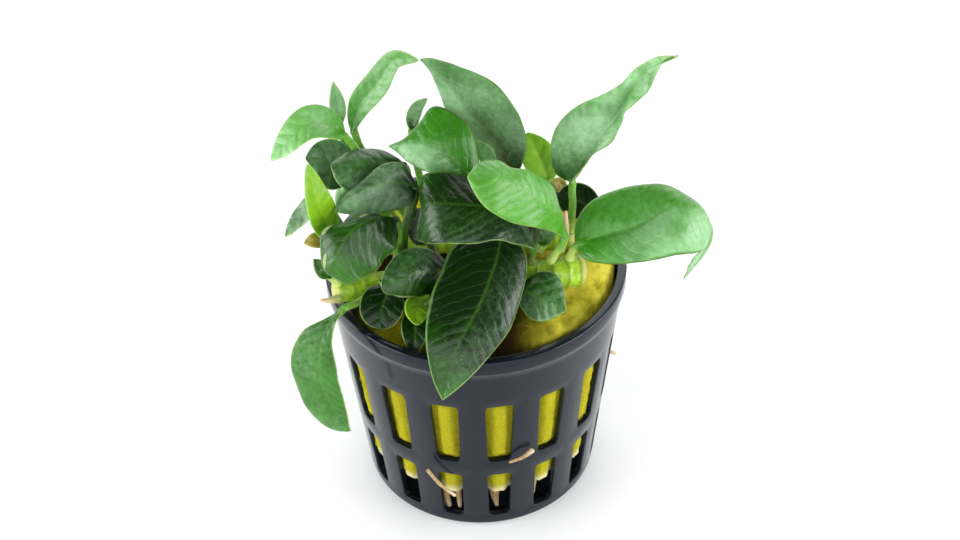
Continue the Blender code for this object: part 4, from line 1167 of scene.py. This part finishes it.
def leaf_shade_share(x, y, z):
    """Painted shade under the leaves: dark at the front and left of the top and by the front rim, none at
    the right.
    """
    front = smoothstep(14, 4, y)
    left = smoothstep(15, 5, x)
    rim = smoothstep(-14, -22, y) * smoothstep(18, 8, x) * 0.75
    top = smoothstep(41, 45, z)
    return min(1.0, top * max(front * left, rim))


def make_wool(material):
    points = []
    marks = {"leaf_shade": [], "pale": [], "damp_and_shade": [], "dry_and_lit": []}
    rows = 0

    def add(x, y, z):
        points.append((x, y, z))
        # painted shade under the leaves
        marks["leaf_shade"].append(leaf_shade_share(x, y, z))
        marks["pale"].append(smoothstep(WOOL_BOTTOM + 2.2, WOOL_BOTTOM, z) * 0.8)
        # darker below the top: partly damp, partly painted shade
        marks["damp_and_shade"].append(smoothstep(41.0, 36.0, z))
        # brighter on the high right: partly dry wool, partly painted light
        marks["dry_and_lit"].append(smoothstep(44.0, 48.0, z) * smoothstep(8.0, 18.0, x) * 0.8)

    around = WOOL_AROUND
    heights = [WOOL_BOTTOM + (WOOL_TOP - 1.2 - WOOL_BOTTOM) * k / 70 for k in range(71)]
    for ring in (0.3, 0.6, 0.85, 0.97):
        for k in range(around):
            angle = k * math.tau / around
            radius = (wool_outer(angle, WOOL_BOTTOM) - 0.6) * ring
            x, y = radius * math.cos(angle), radius * math.sin(angle)
            add(x, y, WOOL_BOTTOM - 0.5 + rough_ground(x, y, 0) * 1.2)
        rows += 1
    for height in heights:
        for k in range(around):
            angle = k * math.tau / around
            radius = wool_outer(angle, height)
            x, y = radius * math.cos(angle), radius * math.sin(angle)
            radius += rough_ground(x, y, height) * 0.35 - 0.1
            x, y = radius * math.cos(angle), radius * math.sin(angle)
            add(x, y, height)
        rows += 1
    top_radius = wall_radius(WOOL_TOP) - WALL - WOOL_GAP
    for ring in TOP_RINGS:
        for k in range(around):
            angle = k * math.tau / around
            radius = top_radius * ring
            x, y = radius * math.cos(angle), radius * math.sin(angle)
            drop = 0.9 * smoothstep(0.93, 1.0, ring)
            add(x, y, wool_height(x, y) - drop + rough_ground(x, y, 9) * TOP_ROUGHNESS)
        rows += 1
    faces = ring_faces(0, rows, around)
    for ring, flip in ((0, False), (rows - 1, True)):
        loop = tuple(range(ring * around, (ring + 1) * around))
        faces.append(loop if flip else loop[::-1])
    return piece("wool_plug_fine", points, faces, material, "wool_plug", "mineral_wool", marks)


def make_fibres(material):
    """Loose curved threads that lie on the wool, each a thin three-sided strand."""
    rng = np.random.default_rng(7)
    points = []
    faces = []
    marks = {"leaf_shade": [], "pale": [], "damp_and_shade": []}
    steps = 6

    def strand(places, radius):
        base = len(points)
        for k, spot in enumerate(places):
            ahead = places[min(k + 1, len(places) - 1)] - places[max(k - 1, 0)]
            side = ahead.cross(Vector((0.3, 0.2, 1.0))).normalized()
            up = side.cross(ahead).normalized()
            thin = radius * (1 - 0.6 * abs(2 * k / (len(places) - 1) - 1))
            for corner in range(3):
                turn = corner * math.tau / 3
                points.append(spot + (side * math.cos(turn) + up * math.sin(turn)) * thin)
                # painted shade under the leaves
                marks["leaf_shade"].append(leaf_shade_share(*spot))
                marks["pale"].append(smoothstep(WOOL_BOTTOM + 2.2, WOOL_BOTTOM, spot.z) * 0.8)
                # darker below the top: partly damp, partly painted shade
                marks["damp_and_shade"].append(smoothstep(41.0, 36.0, spot.z))
        faces.extend(ring_faces(base, len(places), 3))
        faces.append((base + 2, base + 1, base))
        end = base + 3 * (len(places) - 1)
        faces.append((end, end + 1, end + 2))

    for _ in range(FIBRES_TOP):
        radius = math.sqrt(rng.random()) * (wall_radius(WOOL_TOP) - WALL - 1.2)
        angle = rng.random() * math.tau
        heading = rng.random() * math.tau
        bend = rng.normal() * 0.35
        length = rng.uniform(1.5, 5.0)
        lift = rng.uniform(0.0, 0.25)
        x, y = radius * math.cos(angle), radius * math.sin(angle)
        places = []
        for k in range(steps):
            ground = wool_height(x, y) + rough_ground(x, y, 9) * TOP_ROUGHNESS
            places.append(Vector((x, y, ground + lift + 0.25 * math.sin(math.pi * k / (steps - 1)))))
            x += math.cos(heading) * length / steps
            y += math.sin(heading) * length / steps
            heading += bend
            if math.hypot(x, y) > wall_radius(WOOL_TOP) - WALL - 0.5:
                break
        if len(places) > 2:
            strand(places, 0.045)
    for _ in range(FIBRES_SIDE):
        angle = rng.random() * math.tau
        height = rng.uniform(WOOL_BOTTOM, WOOL_TOP - 1)
        heading = rng.random() * math.tau
        bend = rng.normal() * 0.35
        length = rng.uniform(1.0, 3.5)
        places = []
        for k in range(steps):
            radius = wool_outer(angle, height) + 0.05
            places.append(Vector((radius * math.cos(angle), radius * math.sin(angle), height)))
            angle += math.cos(heading) * length / steps / radius
            height += math.sin(heading) * length / steps
            heading += bend
            if height > WOOL_TOP - 0.6 or height < WOOL_BOTTOM:
                break
        if len(places) > 2:
            strand(places, 0.04)
    return piece("wool_fibres", points, faces, material, None, "mineral_wool", marks)


# ---- stage -----------------------------------------------------------------------------
CAMERA_PLACE = (0.0, -0.2634, 0.2741)
CAMERA_FORWARD = (0.00209, 0.75448, -0.65632)
CAMERA_UP = (0.03254, 0.65592, 0.75413)
CAMERA_LENS = 71.5


# the walls' brightness by height: the sine of the elevation, and the share of the strength
WALL_LIGHT = ((0.0, 1.0), (0.3, 0.8), (0.5, 0.3), (0.7, 0.06), (1.0, 0.03))
WALL_STRENGTH = 1.85
FLOOR_SIZE = 40.0
FLOOR_DROP = 0.0002
# each softbox: the way to it, its distance, its width and height, and its brightness
SOFTBOXES = {
    "softbox_left": ((-0.95, -0.25, 0.25), 0.8, (0.7, 0.5), 6.0),
    "softbox_right": ((0.95, -0.25, 0.22), 0.8, (0.7, 0.5), 6.0),
    "softbox_front": ((0.0, -1.0, 0.34), 0.9, (0.8, 0.5), 1.8),
    "softbox_back": ((0.0, 0.85, 0.60), 1.0, (1.3, 0.5), 3.0),
}


def make_camera():
    camera = bpy.data.cameras.new("camera")
    camera.lens = CAMERA_LENS
    camera.sensor_width = 36.0
    camera.clip_start = 0.01
    item = bpy.data.objects.new("camera", camera)
    bpy.context.scene.collection.objects.link(item)
    forward = Vector(CAMERA_FORWARD).normalized()
    up = Vector(CAMERA_UP).normalized()
    right = forward.cross(up).normalized()
    up = right.cross(forward)
    item.matrix_world = Matrix((
        (right.x, up.x, -forward.x, CAMERA_PLACE[0]),
        (right.y, up.y, -forward.y, CAMERA_PLACE[1]),
        (right.z, up.z, -forward.z, CAMERA_PLACE[2]),
        (0.0, 0.0, 0.0, 1.0),
    ))
    bpy.context.scene.camera = item


def area_light(name, place, aim, size, power, colour=(1.0, 1.0, 1.0)):
    light = bpy.data.lights.new(name, "AREA")
    light.shape = "RECTANGLE"
    light.size = size[0]
    light.size_y = size[1]
    light.energy = power
    light.color = colour
    item = bpy.data.objects.new(name, light)
    bpy.context.scene.collection.objects.link(item)
    item.location = place
    item.rotation_euler = (Vector(aim) - Vector(place)).to_track_quat("-Z", "Y").to_euler()
    return item


def make_stage():
    n = Nodes("floor_white")
    where = n.place()
    colour = n.blend(n.noise(where, 0.004, 2.0), rgb(0.90, 0.91, 0.92), rgb(0.92, 0.93, 0.94))
    material = n.finish(colour, 0.6, None, Specular_IOR_Level=0.2, Emission_Strength=0.10)
    n.put(n.shader.inputs["Emission Color"], rgb(1.0, 1.0, 1.0))
    bpy.ops.mesh.primitive_plane_add(size=FLOOR_SIZE, location=(0, 0, -FLOOR_DROP))
    floor = bpy.context.object
    floor.name = "floor"
    floor.data.materials.append(material)
    world = bpy.data.worlds.new("studio")
    world.use_nodes = True
    bpy.context.scene.world = world
    # bright white walls around the table, and a dim ceiling
    tree = world.node_tree
    direction = tree.nodes.new("ShaderNodeTexCoord").outputs["Generated"]
    height = tree.nodes.new("ShaderNodeSeparateXYZ")
    tree.links.new(direction, height.inputs[0])
    ramp = tree.nodes.new("ShaderNodeValToRGB")
    tree.links.new(height.outputs["Z"], ramp.inputs["Fac"])
    stops = ramp.color_ramp.elements
    stops[0].position = WALL_LIGHT[0][0]
    stops[0].color = (WALL_LIGHT[0][1],) * 3 + (1.0,)
    stops[1].position = WALL_LIGHT[-1][0]
    stops[1].color = (WALL_LIGHT[-1][1],) * 3 + (1.0,)
    for place, level in WALL_LIGHT[1:-1]:
        stops.new(place).color = (level,) * 3 + (1.0,)
    background = tree.nodes["Background"]
    tree.links.new(ramp.outputs["Color"], background.inputs["Color"])
    background.inputs["Strength"].default_value = WALL_STRENGTH
    for name, (way, distance, size, brightness) in SOFTBOXES.items():
        aim = Vector((0.0, 0.0, 0.06))
        place = aim + Vector(way).normalized() * distance
        area_light(name, place, aim, size, brightness * math.pi * size[0] * size[1])
    bpy.context.scene.view_settings.view_transform = "Standard"


def main():
    make_camera()
    make_stage()
    leaf_materials = {kind: leaf_material(kind) for kind in LEAF_LOOKS}
    make_pot(pot_material())
    make_wool(wool_material())
    make_fibres(fibre_material())
    for number, (name, leaf) in enumerate(LEAVES.items()):
        make_leaf(name, leaf_materials, number, **leaf)
    skin = rhizome_material()
    for number, (name, rod) in enumerate(RHIZOMES.items()):
        make_rod(name, rod["points"], rod["radii"], skin, "rhizome", number, 60, 28, 0.10, 2.4)
    paper = sheath_material()
    for number, (name, rod) in enumerate(SHEATHS.items()):
        make_rod(name, rod["points"], rod["radii"], paper, "sheath", number, 24, 16, 0.08)
    bark = root_material()
    for number, (name, rod) in enumerate(ROOTS.items()):
        make_rod(name, rod["points"], rod["radii"], bark, "root", number, 30, 14, 0.15)


main()
